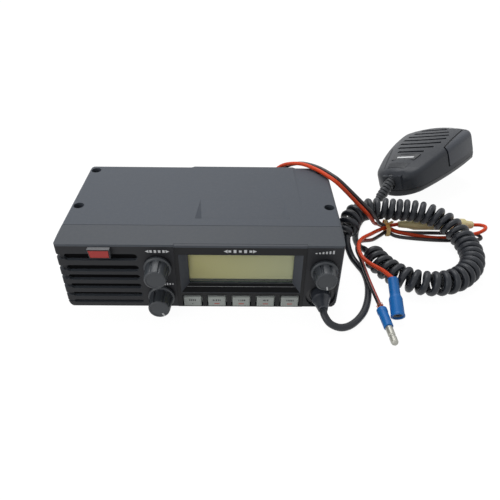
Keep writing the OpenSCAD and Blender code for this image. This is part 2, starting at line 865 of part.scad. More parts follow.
// Right half of a cross-section, from the crown round the edge down to the back
function mic_half_section(h, z, foot) =
  let (r = min(mic_edge_r, h - 2), brow = h - r + r * cos(75), top = z - r + r * sin(75)) concat(
    [for (f = [0:0.25:0.75]) [f * brow, top + mic_crown * (1 - f * f)]],
    [for (a = [75:-25:0]) [h - r + r * cos(a), z - r + r * sin(a)]],
    foot);
function mic_section(half) = concat(half, [for (i = [len(half) - 1:-1:1]) [-half[i][0], half[i][1]]]);
// Places of the cross-sections, closer together at the rounded ends. A hollow starts a little
// later, which leaves a thick end wall round the strain relief.
function mic_stations(inset) =
  let (a = mic_end_corner - inset, b = mic_top_corner - inset, y0 = inset, y1 = mic_len - inset,
       first = inset > 0 ? 30 : 0) concat(
    [for (t = [first:15:75]) y0 + a * (1 - cos(t))],
    [for (k = [0:8]) y0 + a + (y1 - b - y0 - a) * k / 8],
    [for (t = [75:-15:0]) y1 - b * (1 - cos(t))]);

// Handset form, inset all round; its foot is [how far in from the side, height] points
module mic_form(inset, foot) {
  ys = mic_stations(inset);
  sections = [for (y = ys) let (h = mic_half(y, inset))
    mic_section(mic_half_section(h, mic_edge(y, inset), [for (f = foot) [h - f[0], f[1]]]))];
  n = len(sections[0]);
  last = (len(ys) - 1) * n;
  points = [for (i = [0:len(ys) - 1]) for (q = sections[i]) [q[0], ys[i], q[1]]];
  walls = [for (i = [0:len(ys) - 2]) for (k = [0:n - 1])
    let (a = i * n + k, b = i * n + (k + 1) % n)
    each [[a, a + n, b], [b, a + n, b + n]]];
  caps = [for (k = [1:n - 2]) each [[0, k, k + 1], [last, last + k + 1, last + k]]];
  polyhedron(points, concat(walls, caps));
}
outer_foot = [[0, 6], [1, 2], [3.5, 0]];
front_foot = [[0, 2]];
rear_foot = [[0, 6], [0.5, mic_wall + 1], [1.5, mic_wall]];

// Slots in the face, arched towards the cord end
module mic_slots() {
  for (i = [0:mic_slot_n - 1]) {
    half = 20.5 - 0.9 * pow(i - 3, 2);
    swing = asin(half / mic_slot_arch_r);
    translate([0, mic_slot_y0 + i * mic_slot_pitch + mic_slot_arch_r, 14])
      linear_extrude(20)
        polygon(concat(
          arc(0, 0, mic_slot_arch_r - mic_slot_w / 2, 270 - swing, 270 + swing, 8),
          arc(0, 0, mic_slot_arch_r + mic_slot_w / 2, 270 + swing, 270 - swing, 8)));
  }
}

// Place of the talk bar seen from the face; its lower end slants, and gap narrows it
module ptt_outline(gap) {
  polygon([
    [ptt_x + gap, ptt_y[0] + 4.2 + gap], [31, ptt_y[0] + gap], [45, ptt_y[0] + gap],
    [45, ptt_y[1] - gap], [ptt_x + gap, ptt_y[1] - gap]]);
}

// Front half of the handset
module mic_front_shell() {
  color("#4b4f54")
  difference() {
    place_mic()
      difference() {
        union() {
          intersection() {
            mic_form(0, outer_foot);
            box([-40, -1, mic_split], [40, mic_len + 1, 40]);
          }
          box([-8.5, -1.4, mic_split + 1.5], [8.5, 3, 19]);
        }
        difference() {
          mic_form(mic_wall, front_foot);
          for (p = mic_posts)
            translate([p[0], p[1], mic_split])
              cylinder(r = 2.8, h = 30);
        }
        mic_slots();
        for (p = mic_posts)
          translate([p[0], p[1], mic_split - 1])
            cylinder(r = 1.05, h = 9);
        translate([0, 0, ptt_z])
          linear_extrude(30)
            ptt_outline(0);
        trim_recess(0, 1.4);
      }
    from_to(relief_a, relief_b)
      translate([0, 0, -4.4])
        cylinder(r = 5.3, h = 20);
  }
}

// Shallow recess in the face for the blank trim plate, wider towards the top
module trim_recess(shrink, depth) {
  w = trim_size[0] / 2 - shrink;
  l = trim_size[1] / 2 - shrink;
  slope = atan2(mic_face(trim_y + 5) - mic_face(trim_y - 5), 10);
  translate([0, trim_y, mic_face(trim_y) - 0.5])
    rotate([slope, 0, 0])
      translate([0, 0, -depth])
        linear_extrude(shrink == 0 ? 4 : depth)
          polygon([[1 - w, -l], [w - 1, -l], [w + 1, l], [-w - 1, l]]);
}

module mic_trim_plate() {
  color("#9a9c9e")
  place_mic()
    trim_recess(0.25, 1);
}

// Rear half of the handset
module mic_rear_shell() {
  color("#3c3f44")
  difference() {
    place_mic()
      difference() {
        intersection() {
          mic_form(0, outer_foot);
          box([-40, -1, -1], [40, mic_len + 1, mic_split - seam]);
        }
        difference() {
          mic_form(mic_wall, rear_foot);
          for (p = mic_posts)
            translate([p[0], p[1], 0])
              cylinder(r = 3.4, h = mic_split - seam);
        }
        for (p = mic_posts) {
          translate([p[0], p[1], -1])
            cylinder(r = 1.3, h = 20);
          translate([p[0], p[1], -1])
            cylinder(r = 2.5, h = 4.4);
        }
      }
    from_to(relief_a, relief_b)
      translate([0, 0, -4.4])
        cylinder(r = 5.3, h = 20);
  }
}

// Talk bar in the handset's right side, with the rib that works its switch
module ptt_bar() {
  gap = 0.4;
  color("#42464b")
  place_mic() {
    intersection() {
      translate([0.6, 0, 0])
        mic_form(0, outer_foot);
      translate([ptt_travel, 0, ptt_z + gap])
        linear_extrude(30)
          ptt_outline(gap);
    }
    box([21.6, ptt_y[0] + 6, ptt_z + 3], [ptt_x + ptt_travel + gap + eps, ptt_y[1] - 4, ptt_z + 9]);
  }
}

// Stud on the back for the hang-up clip
module hang_up_stud() {
  color("#9b9ea1")
  place_mic()
    translate([0, mic_stud_y, 0])
      rotate([180, 0, 0])
        rotate_extrude()
          polygon([
            [0, 0.05], [4, 0.05], [4, mic_stud_h - 4], [6.5, mic_stud_h - 3.2], [6.5, mic_stud_h - 0.8],
            [5.5, mic_stud_h], [0, mic_stud_h]]);
}

module mic_capsule() {
  color("#c0c2c4")
  place_mic()
    translate([0, 40, 9])
      cylinder(r = 4.85, h = 6.5);
}

module mic_board() {
  color("#2f6b45")
  place_mic()
    difference() {
      box([-17, 26, 7], [17, 70, 8.6]);
      translate([mic_posts[1][0], mic_posts[1][1], 0])
        cylinder(r = 6, h = 20);
    }
}

// Switch worked by the talk bar
module ptt_switch() {
  color("#1e1f21")
  place_mic() {
    box([11, 56, 8.65], [17, 66, 18]);
    box([17 - eps, 59, 13], [19.6, 63, 17]);
  }
}

module mic_screws() {
  color("#1f2022")
  place_mic()
    for (p = mic_posts)
      translate([p[0], p[1], 3.3])
        rotate([180, 0, 0])
          screw(1, 2.3, 1.6, 9);
}

// Ribbed strain relief between the handset and its cord
module mic_strain_relief() {
  l = norm(relief_b - relief_a);
  step = (l - 5) / relief_ribs;
  color("#2c2e31")
  from_to(relief_a, relief_b)
    rotate_extrude()
      polygon(concat(
        [[0, 0], [5.1, 0], [5.1, 3.4]],
        [for (i = [0:relief_ribs - 1])
          let (z = 3.8 + i * step, r = 4.9 - 0.12 * i)
          each [[r - 0.8, z - 0.3], [r, z], [r, z + step * 0.6], [r - 0.8, z + step * 0.6 + 0.3]]],
        [[3.6, l - 0.8], [3.2, l], [0, l]]));
}

module mic_lead() {
  color("#2b2d31")
  tube(lead_route, mic_cord_d / 2, cord_sides, [1, 0, 0]);
}

module mic_tail() {
  color("#2b2d31")
  tube(tail_route, mic_cord_d / 2, cord_sides, [0, 0, 1]);
}

// Curvature of the coil's middle line at place u
function curvature(u) =
  let (a = route_at(coil_route, u - 0.3), b = route_at(coil_route, u), c = route_at(coil_route, u + 0.3))
  2 * norm(cross(b - a, c - a)) / (norm(b - a) * norm(c - b) * norm(c - a));
// Curls wound so far against the place on the route, with the same inner pitch everywhere
substeps = 8;
curl_start = 0.7;
curl_stop = len(coil_route) - 1.5;
function curls_in(u) = norm(route_at(coil_route, u + 1 / substeps) - route_at(coil_route, u))
  * (1 - coil_r * curvature(u + 0.5 / substeps)) / inner_pitch;
curl_table = [for (u = curl_start, sum = 0; u < curl_stop; sum = sum + curls_in(u), u = u + 1 / substeps)
  [sum, u]];
all_turns = curl_table[len(curl_table) - 1][0];

// Middle line of the curled cord: straight end, widening curl, curls, narrowing curl, straight end
function coil_point(t) =
  let (u = lookup(t, curl_table), c = route_at(coil_route, u),
       d = unit(route_at(coil_route, u + 0.02) - route_at(coil_route, u - 0.02)),
       side = unit(cross(d, [0, 0, 1])), up = cross(side, d),
       grow = min(1, min(t, all_turns - t) / 0.75),
       a = 360 * t)
  c + coil_r * grow * (sin(a) * side - cos(a) * up);
coil_steps = floor(all_turns * rings_per_curl);
coil_end = coil_route[len(coil_route) - 1];
coil_line = concat(
  [coil_route[0], coil_route[0] + mic_cord_d * unit(route_at(coil_route, 0.05) - coil_route[0])],
  [for (k = [1:coil_steps - 1]) coil_point(k * all_turns / coil_steps)],
  [coil_end - mic_cord_d * unit(coil_end - route_at(coil_route, len(coil_route) - 1.05)), coil_end]);
coil_gap = min([for (i = [0:len(coil_line) - 1])
  for (j = [i + 5:1:min(i + 3 * rings_per_curl, len(coil_line) - 1)])
    norm(coil_line[i] - coil_line[j])]) - mic_cord_d;
echo(curls = all_turns, least_gap = coil_gap);

module mic_coil() {
  color("#2b2d31")
  tube(coil_line, mic_cord_d / 2, coil_sides, [1, 0, 0]);
}

module power_lead_red() {
  color("#b5301f")
  tube(red_route, wire_d / 2, wire_sides, [1, 0, 0]);
}

module power_lead_black() {
  color("#1d1e20")
  tube(black_route, wire_d / 2, wire_sides, [1, 0, 0]);
}

module fused_lead_red() {
  color("#b5301f")
  tube(fused_route, wire_d / 2, wire_sides, [0, 0, 1]);
}

// Fuse holder: long cup with a tapered wire end
module fuse_holder() {
  l = fuse_x[1] - fuse_x[0] - 17;
  color("#cfc4a0")
  translate([fuse_x[0], fuse_y, fuse_z])
    rotate([0, 90, 0])
      rotate_extrude()
        polygon([
          [0, 0], [2, 0], [2.6, 1], [3.4, 9], [fuse_d / 2 - 0.5, 13], [fuse_d / 2 - 0.5, l],
          [3.6, l], [3.6, 14], [0, 14]]);
}

// Bayonet cap of the fuse holder
module fuse_cap() {
  color("#d8cdaa")
  translate([fuse_x[1], fuse_y, fuse_z])
    rotate([0, -90, 0])
      rotate_extrude()
        polygon([
          [0, 0], [2.4, 0], [3, 1], [3.4, 5], [fuse_d / 2 - 0.2, 7], [fuse_d / 2, 7.6],
          [fuse_d / 2, 16.8], [3.6, 16.8], [3.6, 9], [0, 9]]);
}

module fuse() {
  l = fuse_x[1] - fuse_x[0];
  color("#c8cacb")
  translate([fuse_x[0] + 14.5, fuse_y, fuse_z])
    rotate([0, 90, 0])
      cylinder(r = 3.2, h = l - 24);
}

// Blue crimp terminal with a hollow end
module socket_terminal() {
  l = norm(socket_b - socket_a);
  color("#2f6fb0")
  from_to(socket_a, socket_b)
    difference() {
      rotate_extrude()
        polygon([
          [0, 0], [3.2, 0], [3.5, 0.5], [3.5, l * 0.46], [4.4, l * 0.55], [4.4, l - 2],
          [4.6, l - 1], [4.6, l], [0, l]]);
      translate([0, 0, l * 0.55])
        cylinder(r = 3.4, h = l);
    }
}

// Blue crimp sleeve on the black wire
module pin_sleeve() {
  l = norm(pin_b - pin_a);
  color("#2f6fb0")
  from_to(pin_a, pin_b)
    rotate_extrude()
      polygon([
        [0, 0], [3.3, 0], [3.5, 0.4], [3.5, 3], [3.15, 4.2], [3.1, l - 0.4], [2.8, l], [0, l]]);
}

// Bright pin with a round nose and a waist
module pin_contact() {
  l = norm(pin_b - pin_a);
  color("#c4c5bd")
  from_to(pin_a, pin_b)
    translate([0, 0, l])
      rotate_extrude()
        polygon(concat(
          [[0, 0.02], [pin_r, 0.02], [pin_r, 6.5], [pin_r - 0.35, 7], [pin_r - 0.35, 8], [pin_r, 8.5],
           [pin_r, pin_tip_len - pin_r]],
          arc(0, pin_tip_len - pin_r, pin_r, 0, 90)));
}

// Twist tie round the four wires, with its two ends standing up
module wire_tie() {
  inner = [7.1, 3.4];
  t = 0.6;
  band = 3;
  color("#cdbf95")
  translate([tie_x, 38.2, inner[1] + t + 0.1]) {
    rotate([90, 0, 90])
      translate([0, 0, -band / 2])
        difference() {
          linear_extrude(band)
            polygon(round_rect(-inner[0] - t, -inner[1] - t, inner[0] + t, inner[1] + t, 2.2, 2.2));
          translate([0, 0, -1])
            linear_extrude(band + 2)
              polygon(round_rect(-inner[0], -inner[1], inner[0], inner[1], 1.6, 1.6));
        }
    for (bend = [-35, 25])
      translate([0, -1, inner[1] + 0.2])
        rotate([30, bend, 0])
          translate([-1, -0.35, 0])
            cube([2, 0.7, 7]);
  }
}

bottom_case();
top_cover();
front_bezel();
display_panel();
display_window();
lcd_panel();
badge_block();
badge_plate();
button_1();
button_2();
button_3();
button_4();
button_5();
keypad_membrane();
channel_knob();
channel_shaft();
channel_encoder();
squelch_knob();
squelch_shaft();
squelch_pot();
volume_knob();
volume_shaft();
volume_pot();
mic_socket();
speaker_frame();
speaker_cone();
main_board();
front_board();
shield_can();
power_transistor();
capacitors();
heat_sink();
antenna_socket();
speaker_jack();
power_grommet();
case_screws();
mic_front_shell();
mic_rear_shell();
ptt_bar();
hang_up_stud();
mic_capsule();
mic_board();
ptt_switch();
mic_screws();
mic_trim_plate();
mic_strain_relief();
mic_plug();
mic_lead();
mic_coil();
mic_tail();
power_lead_red();
power_lead_black();
fused_lead_red();
fuse_holder();
fuse_cap();
fuse();
socket_terminal();
pin_sleeve();
pin_contact();
wire_tie();
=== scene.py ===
# %% [markdown]
# A mobile two-way radio with its hand microphone, curly cord and fused power lead.
# The sizes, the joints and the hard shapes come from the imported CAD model, which is loaded
# first and never changed. This lesson then gives each piece its rounded edges, its small
# details and its finish, and lays the cords along the same routes as the CAD tubes.
# %% Open the CAD frame
import json
import math

import bmesh
import bpy
from mathutils import Euler, Matrix, Vector


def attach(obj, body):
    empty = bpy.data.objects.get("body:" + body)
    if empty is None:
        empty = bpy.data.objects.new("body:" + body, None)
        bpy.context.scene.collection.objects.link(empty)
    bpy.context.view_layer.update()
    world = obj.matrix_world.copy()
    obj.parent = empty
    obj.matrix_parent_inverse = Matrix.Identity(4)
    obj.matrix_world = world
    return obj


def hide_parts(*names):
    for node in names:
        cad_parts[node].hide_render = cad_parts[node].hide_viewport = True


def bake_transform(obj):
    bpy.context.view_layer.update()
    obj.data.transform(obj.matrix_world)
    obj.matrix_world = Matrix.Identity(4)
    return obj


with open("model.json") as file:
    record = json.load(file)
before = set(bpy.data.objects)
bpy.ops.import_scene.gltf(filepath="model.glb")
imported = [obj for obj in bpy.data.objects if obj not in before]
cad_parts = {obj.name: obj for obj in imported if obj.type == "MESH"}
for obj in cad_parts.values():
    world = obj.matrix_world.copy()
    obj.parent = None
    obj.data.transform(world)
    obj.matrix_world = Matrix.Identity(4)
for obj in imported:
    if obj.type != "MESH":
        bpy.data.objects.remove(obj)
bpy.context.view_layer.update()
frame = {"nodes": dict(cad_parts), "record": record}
nodes = frame["nodes"]
mm = 0.001
scene = bpy.context.scene

# %% [markdown]
# The camera stands in front of the radio, a little above it. Its place comes from matching the
# case's corners to the picture: a 36 mm lens on a 36 mm sensor, looking 37 degrees down.
# %% Camera
def add(name, data):
    """Puts an object with this data into the scene."""
    made = bpy.data.objects.new(name, data)
    scene.collection.objects.link(made)
    return made


camera_data = bpy.data.cameras.new("camera")
camera_data.lens = 36
camera_data.sensor_width = 36
camera_data.clip_start = 0.01
camera_data.clip_end = 20
camera = add("camera", camera_data)
camera.location = (0.02603, -0.29287, 0.22904)
camera.rotation_euler = [math.radians(a) for a in (53.140, -0.813, -0.413)]
scene.camera = camera
scene.view_settings.view_transform = "Standard"
print("camera at", tuple(round(v, 3) for v in camera.location))

# %% [markdown]
# Worlds and materials are trees of shader nodes. A few small helpers keep them readable. Each
# input takes a plain value or the output of another node. Colours are written as they look on a
# screen, and turned into the linear values of a shader. A Mix node has its sockets for colours
# after those for numbers, so they are picked by their places.
# %% Helpers for shader trees
MIX_INPUTS = (0, 6, 7)
MIX_RESULT = 2


def feed(tree, place, value):
    """Sets an input to a plain value, or links another node's output to it."""
    if isinstance(value, bpy.types.NodeSocket):
        tree.links.new(value, place)
    else:
        place.default_value = value


def node(tree, kind, **inputs):
    """Adds a shader node; in an input's name, _ stands for a space."""
    made = tree.nodes.new("ShaderNode" + kind)
    for name, value in inputs.items():
        feed(tree, made.inputs[name.replace("_", " ")], value)
    return made


def maths(tree, operation, first, second, clamp=False):
    made = node(tree, "Math")
    made.operation = operation
    made.use_clamp = clamp
    feed(tree, made.inputs[0], first)
    feed(tree, made.inputs[1], second)
    return made.outputs[0]


def ranged(tree, value, start, stop, low=0.0, high=1.0):
    """Goes from low to high while the value goes from start to stop."""
    made = node(tree, "MapRange", Value=value, From_Min=start, From_Max=stop, To_Min=low, To_Max=high)
    return made.outputs["Result"]


def coordinate(tree, vector, axis):
    return node(tree, "SeparateXYZ", Vector=vector).outputs[axis]


def mixed(tree, share, first, second):
    """A colour between two colours."""
    mix = node(tree, "Mix")
    mix.data_type = "RGBA"
    for place, value in zip(MIX_INPUTS, (share, first, second)):
        feed(tree, mix.inputs[place], value)
    return mix.outputs[MIX_RESULT]


def srgb(red, green, blue):
    """A colour as read off a screen, 0 to 255, as the linear values that shaders use."""
    def linear(c):
        c = c / 255
        return c / 12.92 if c <= 0.04045 else ((c + 0.055) / 1.055) ** 2.4
    return (linear(red), linear(green), linear(blue), 1)


print("mid grey on a screen, as a shader value:", round(srgb(128, 128, 128)[0], 3))

# %% [markdown]
# Soft studio light. One wide lamp stands high behind the radio: it lights everything that faces
# up and puts a sheen on it, while the front stays dark, as in the picture. A small lamp at the
# left makes the front fade to the right. The world is weak as a light, and white to the camera,
# to reflections and through glass.
# %% Lamps and world
def area_lamp(name, place, aim, size, watts):
    data = bpy.data.lights.new(name, "AREA")
    data.shape = "DISK"
    data.size = size
    data.energy = watts
    lamp = add(name, data)
    lamp.location = place
    lamp.rotation_euler = (Vector(aim) - Vector(place)).to_track_quat("-Z", "Y").to_euler()


def seen_directly(tree):
    """1 for rays from the camera, in reflections and through glass, 0 for light on a surface."""
    path = node(tree, "LightPath").outputs
    shown = maths(tree, "MAXIMUM", path["Is Camera Ray"], path["Is Glossy Ray"])
    return maths(tree, "MAXIMUM", shown, path["Is Transmission Ray"])


WORLD_LIGHT = 0.3
area_lamp("lamp_behind", place=(-0.15, 0.62, 1.15), aim=(0.05, 0, 0), size=0.9, watts=8.0)
area_lamp("lamp_left", place=(-0.52, -0.42, 0.36), aim=(0, 0, 0.02), size=0.45, watts=1.3)
world = bpy.data.worlds.new("studio")
world.use_nodes = True
scene.world = world
tree = world.node_tree
tree.nodes.clear()
level = ranged(tree, seen_directly(tree), 0, 1, low=WORLD_LIGHT)
background = node(tree, "Background", Color=(1, 1, 1, 1), Strength=level)
node(tree, "OutputWorld", Surface=background.outputs[0])

# %% [markdown]
# Most surfaces here are moulded or painted, and never quite even. One node group holds what
# they share: a fine grain that breaks up the gloss, a slow mottle in the colour, and a little
# settled dust on what faces up. Each material sets its own amounts.
# %% Group for moulded and painted surfaces
PATCHES_PER_METRE = 45.0
SPECKS_PER_METRE = 420.0
DUST_COLOUR = (190, 188, 182)
ROUGHER_PATCHES = 0.6


def socket(group, name, way, kind, value=None):
    made = group.interface.new_socket(name=name, in_out=way, socket_type="NodeSocket" + kind)
    if value is not None:
        made.default_value = value


def noise(group, where, **values):
    return node(group, "TexNoise", Vector=where, **values).outputs["Fac"]


def surface_group():
    group = bpy.data.node_groups.new("surface", "ShaderNodeTree")
    socket(group, "Colour", "INPUT", "Color", (0.1, 0.1, 0.1, 1))
    socket(group, "Roughness", "INPUT", "Float", 0.5)
    socket(group, "Grain per metre", "INPUT", "Float", 2000)
    socket(group, "Grain depth", "INPUT", "Float", 0.00002)
    socket(group, "Mottle", "INPUT", "Float", 0.1)
    socket(group, "Dust", "INPUT", "Float", 0.0)
    socket(group, "Colour", "OUTPUT", "Color")
    socket(group, "Roughness", "OUTPUT", "Float")
    socket(group, "Normal", "OUTPUT", "Vector")
    given = group.nodes.new("NodeGroupInput").outputs
    made = group.nodes.new("NodeGroupOutput").inputs
    where = node(group, "TexCoord").outputs["Object"]

    grain = noise(group, where, Scale=given["Grain per metre"], Detail=3.0, Roughness=0.6)
    bump = node(group, "Bump", Strength=1.0, Height=grain, Distance=given["Grain depth"])
    feed(group, made["Normal"], bump.outputs["Normal"])

    patches = noise(group, where, Scale=PATCHES_PER_METRE, Detail=4.0, Roughness=0.65)
    amount = maths(group, "MULTIPLY", ranged(group, patches, 0.3, 0.7, low=-1.0), given["Mottle"])
    toned = node(group, "VectorMath")
    toned.operation = "SCALE"
    feed(group, toned.inputs["Vector"], given["Colour"])
    feed(group, toned.inputs["Scale"], maths(group, "ADD", amount, 1.0))

    upward = coordinate(group, node(group, "NewGeometry").outputs["Normal"], "Z")
    specks = noise(group, where, Scale=SPECKS_PER_METRE, Detail=5.0, Roughness=0.7)
    settled = maths(group, "MULTIPLY", upward, ranged(group, specks, 0.45, 0.75), clamp=True)
    dust = maths(group, "MULTIPLY", settled, given["Dust"])
    feed(group, made["Colour"], mixed(group, dust, toned.outputs[0], srgb(*DUST_COLOUR)))

    patchy = maths(group, "ADD", maths(group, "MULTIPLY", amount, ROUGHER_PATCHES), given["Roughness"])
    feed(group, made["Roughness"], maths(group, "ADD", patchy, dust, clamp=True))
    return group


surface = surface_group()
print("inputs of the surface group:", [s.name for s in surface.interface.items_tree if s.in_out == "INPUT"])

# %% [markdown]
# Two finishes differ from place to place. The bezel is painted darker on what faces the front: painted
# shade, since little light reaches the front. The black wire has a pinkish painted highlight on its upper
# right side, on its last stretch. Each of these is a mask, worked out from the object's own normals and
# coordinates.
# %% Masks
# The side of the wire that gets the painted highlight.
HIGHLIGHT_SIDE = (0.72, -0.2, 0.66)


def mask_group(name):
    """A new group, its texture coordinates and the input of its one output."""
    group = bpy.data.node_groups.new(name, "ShaderNodeTree")
    socket(group, "Mask", "OUTPUT", "Float")
    return group, node(group, "TexCoord").outputs, group.nodes.new("NodeGroupOutput").inputs["Mask"]


def painted_shade_front_group():
    """1 where a surface faces the front of the radio, where shade is painted."""
    group, where, mask = mask_group("front")
    feed(group, mask, ranged(group, coordinate(group, where["Normal"], "Y"), -0.75, -0.95))
    return group


def painted_highlight_group():
    """1 on the upper right side of a wire, on its last stretch only, where a highlight is painted."""
    group, where, mask = mask_group("painted_highlight")
    aside = node(group, "VectorMath", Vector=where["Normal"])
    aside.operation = "DOT_PRODUCT"
    aside.inputs[1].default_value = HIGHLIGHT_SIDE
    side = ranged(group, aside.outputs["Value"], 0.45, 0.6)
    stretch = ranged(group, coordinate(group, where["Object"], "Y"), 18 * mm, 6 * mm)
    feed(group, mask, maths(group, "MULTIPLY", side, stretch))
    return group


front = painted_shade_front_group()
painted_highlight_mask = painted_highlight_group()
print("masks:", front.name, painted_highlight_mask.name)

# %% [markdown]
# A finish is a Principled shader fed by the surface group. Its plain values, such as how metallic
# it is, are set on the shader's own sockets, so that the export can read them. Clear pieces get
# an alpha as well, and prints share all but their colour.
# %% Making a finish
def new_material(name):
    """A new material, its tree of nodes and its Principled shader."""
    material = bpy.data.materials.new(name)
    material.use_nodes = True
    return material, material.node_tree, material.node_tree.nodes["Principled BSDF"]


def finish(name, colour, roughness, grain=2200, depth=0.02, mottle=0.06, dust=0.0,
           painted_shade_front_colour=None, painted_highlight=None, **shader):
    """A finish: colour 0 to 255, grain per metre, its depth in mm, and plain shader values."""
    material, tree, principled = new_material(name)
    group = node(tree, "Group")
    group.node_tree = surface
    for place, value in zip(group.inputs, (srgb(*colour), roughness, grain, depth * mm, mottle, dust)):
        place.default_value = value
    # A mask mixes in a second colour: painted shade on front faces, or a painted highlight on a wire.
    if painted_shade_front_colour or painted_highlight:
        mask = node(tree, "Group")
        mask.node_tree = front if painted_shade_front_colour else painted_highlight_mask
        tones = mixed(tree, mask.outputs[0], srgb(*colour), srgb(*(painted_shade_front_colour or painted_highlight)))
        feed(tree, group.inputs["Colour"], tones)
    for place, output in zip(("Base Color", "Roughness", "Normal"), group.outputs):
        feed(tree, principled.inputs[place], output)
    for place, value in shader.items():
        feed(tree, principled.inputs[place.replace("_", " ")], value)
    material.diffuse_color = srgb(*colour)
    return material


def clear_finish(name, colour, roughness, alpha):
    return finish(name, colour, roughness, grain=400, depth=0.003, mottle=0.02, Alpha=alpha)


def ink(name, colour):
    return finish(name, colour, 0.5, grain=900, depth=0.004, mottle=0.1)


print("materials before the finishes:", len(bpy.data.materials))

# %% [markdown]
# The finishes, one for each thing the radio is made of. The cover is a fine matt paint with a blue-grey
# cast. The bezel is grained plastic in the cover's grey; its front face is painted nearly black, as painted
# shade. The handset is smoother, the cord is rubber and the wires are soft vinyl.
# %% Finishes
COVER = finish("cover_paint", (78, 84, 93), 0.5, grain=2600, depth=0.03, mottle=0.05, dust=0.03,
               Specular_IOR_Level=0.25)
# The darker front colours of the bezel and the panel are painted shade, for the little light that reaches
# the front.
BEZEL = finish("bezel_plastic", (70, 75, 82), 0.5, grain=2600, depth=0.03, mottle=0.05, dust=0.03,
               painted_shade_front_colour=(36, 37, 41), Specular_IOR_Level=0.3)
PANEL = finish("panel_plastic", (74, 78, 85), 0.45, grain=2600, mottle=0.05, painted_shade_front_colour=(19, 20, 23),
               Specular_IOR_Level=0.25)
TRAY = finish("tray_paint", (44, 47, 50), 0.55, grain=2400, depth=0.03)
SINK = finish("sink_black", (46, 48, 51), 0.5, grain=3000, depth=0.04, Metallic=0.6)
KNOB = finish("knob_plastic", (58, 62, 67), 0.42, grain=2600, depth=0.012, mottle=0.05)
KEY = finish("key_plastic", (190, 196, 192), 0.5, grain=3000, mottle=0.05)
SOCKET = finish("socket_plastic", (30, 32, 36), 0.4, grain=2400, depth=0.015)
PLUG = finish("plug_rubber", (56, 60, 68), 0.42, grain=1800)
HANDSET = finish("handset_plastic", (47, 51, 58), 0.4, grain=2600, mottle=0.05, dust=0.02,
                 Specular_IOR_Level=0.3)
HANDSET_BACK = finish("handset_back_plastic", (40, 43, 49), 0.4, grain=2600, Specular_IOR_Level=0.3)
# The talk bar is the shell's plastic, painted lighter as a painted highlight for the light on the handset's
# upper side.
TALK_BAR_LIT = finish("talk_bar_plastic_lit", (62, 67, 76), 0.36, grain=2600, Specular_IOR_Level=0.35)
CORD = finish("cord_rubber", (36, 40, 47), 0.4, grain=1500, depth=0.03, mottle=0.12,
              Specular_IOR_Level=0.42)
RELIEF = finish("relief_rubber", (48, 51, 56), 0.42, grain=1500, depth=0.03)
RED_WIRE = finish("wire_red", (234, 76, 30), 0.42, grain=1200, mottle=0.08, Specular_IOR_Level=0.3)
# The pinkish colour on the black wire's upper right side, near its end, is a painted highlight.
BLACK_WIRE = finish("wire_black", (30, 27, 30), 0.4, grain=1200, painted_highlight=(176, 62, 48))
BEIGE = finish("fuse_holder_plastic", (246, 232, 174), 0.42, grain=900, mottle=0.05)
BLUE = finish("terminal_blue", (26, 112, 190), 0.4, grain=700, depth=0.04, mottle=0.1,
              Specular_IOR_Level=0.35)
TIE = finish("tie_plastic", (248, 212, 140), 0.5, grain=1500)
BADGE_RED = finish("badge_red", (188, 44, 38), 0.32, grain=900, depth=0.01)
BADGE_GREY = finish("badge_grey", (84, 86, 90), 0.42, grain=2600, depth=0.015)
BADGE_RIM = finish("badge_rim", (206, 190, 186), 0.35, grain=2600, depth=0.005)
SCREW = finish("screw_black", (34, 36, 38), 0.35, grain=2000, depth=0.01, Metallic=0.5)
RUBBER = finish("grommet_rubber", (34, 35, 37), 0.6, grain=1800, depth=0.03)
KEYPAD = finish("keypad_rubber", (184, 184, 176), 0.6, grain=1800)
STEEL = finish("shaft_steel", (186, 189, 192), 0.3, grain=3500, depth=0.01, Metallic=1.0)
CONTROL = finish("control_metal", (150, 154, 158), 0.35, grain=3500, depth=0.01, Metallic=0.9)
PLATED = finish("socket_nickel", (200, 202, 203), 0.2, grain=3500, depth=0.006, Metallic=1.0)
BORE = finish("socket_insulator", (228, 226, 218), 0.5, grain=2400, depth=0.01)
PIN = finish("pin_metal", (172, 172, 164), 0.42, grain=1500, depth=0.06, mottle=0.15, Metallic=0.6)
COPPER = finish("copper_strand", (170, 92, 62), 0.38, grain=3000, Metallic=0.8)
BOARD = finish("board_green", (40, 104, 66), 0.4, grain=1200)
SHIELD = finish("shield_tin", (186, 188, 189), 0.35, grain=2000, Metallic=0.9)
EPOXY = finish("transistor_black", (60, 62, 64), 0.5)
CAPACITOR = finish("capacitor_blue", (42, 58, 98), 0.3)
SPEAKER = finish("speaker_steel", (112, 115, 117), 0.45, Metallic=0.6)
PAPER = finish("cone_paper", (50, 52, 55), 0.85, grain=1500, depth=0.06)
CLOTH = finish("speaker_cloth", (13, 13, 15), 0.95, grain=3000, depth=0.06, Specular_IOR_Level=0.1)
CAPSULE = finish("capsule_metal", (192, 194, 196), 0.35, Metallic=0.9)
WHITE_INK = ink("white_print", (232, 234, 236))
GREY_INK = ink("grey_print", (150, 152, 156))
DARK_INK = ink("dark_print", (52, 54, 58))
RED_INK = ink("red_print", (204, 74, 60))
# Black for the display's border, and also the colour of the painted shade on the recess's slope.
BLACK_MASK_AND_SHADE = finish("display_mask_and_shade", (12, 13, 15), 0.4, depth=0.004, Specular_IOR_Level=0.1)
# Painted shade for a groove on the handset's face.
GROOVE_SHADE = finish("groove_shadow", (30, 32, 35), 0.7, depth=0.01)
TRIM = finish("trim_plate", (40, 43, 48), 0.4, grain=2600, depth=0.01)
# Silver for the trim bar, and also the colour of the painted glint on the handset's face.
SILVER_AND_GLINT = finish("trim_silver", (226, 228, 230), 0.35, grain=2600, depth=0.01, Metallic=0.2)
WINDOW = clear_finish("window", (205, 214, 205), 0.08, 0.12)
FUSE_GLASS = clear_finish("fuse_glass", (210, 214, 214), 0.05, 0.4)
print("finishes:", len(bpy.data.materials))

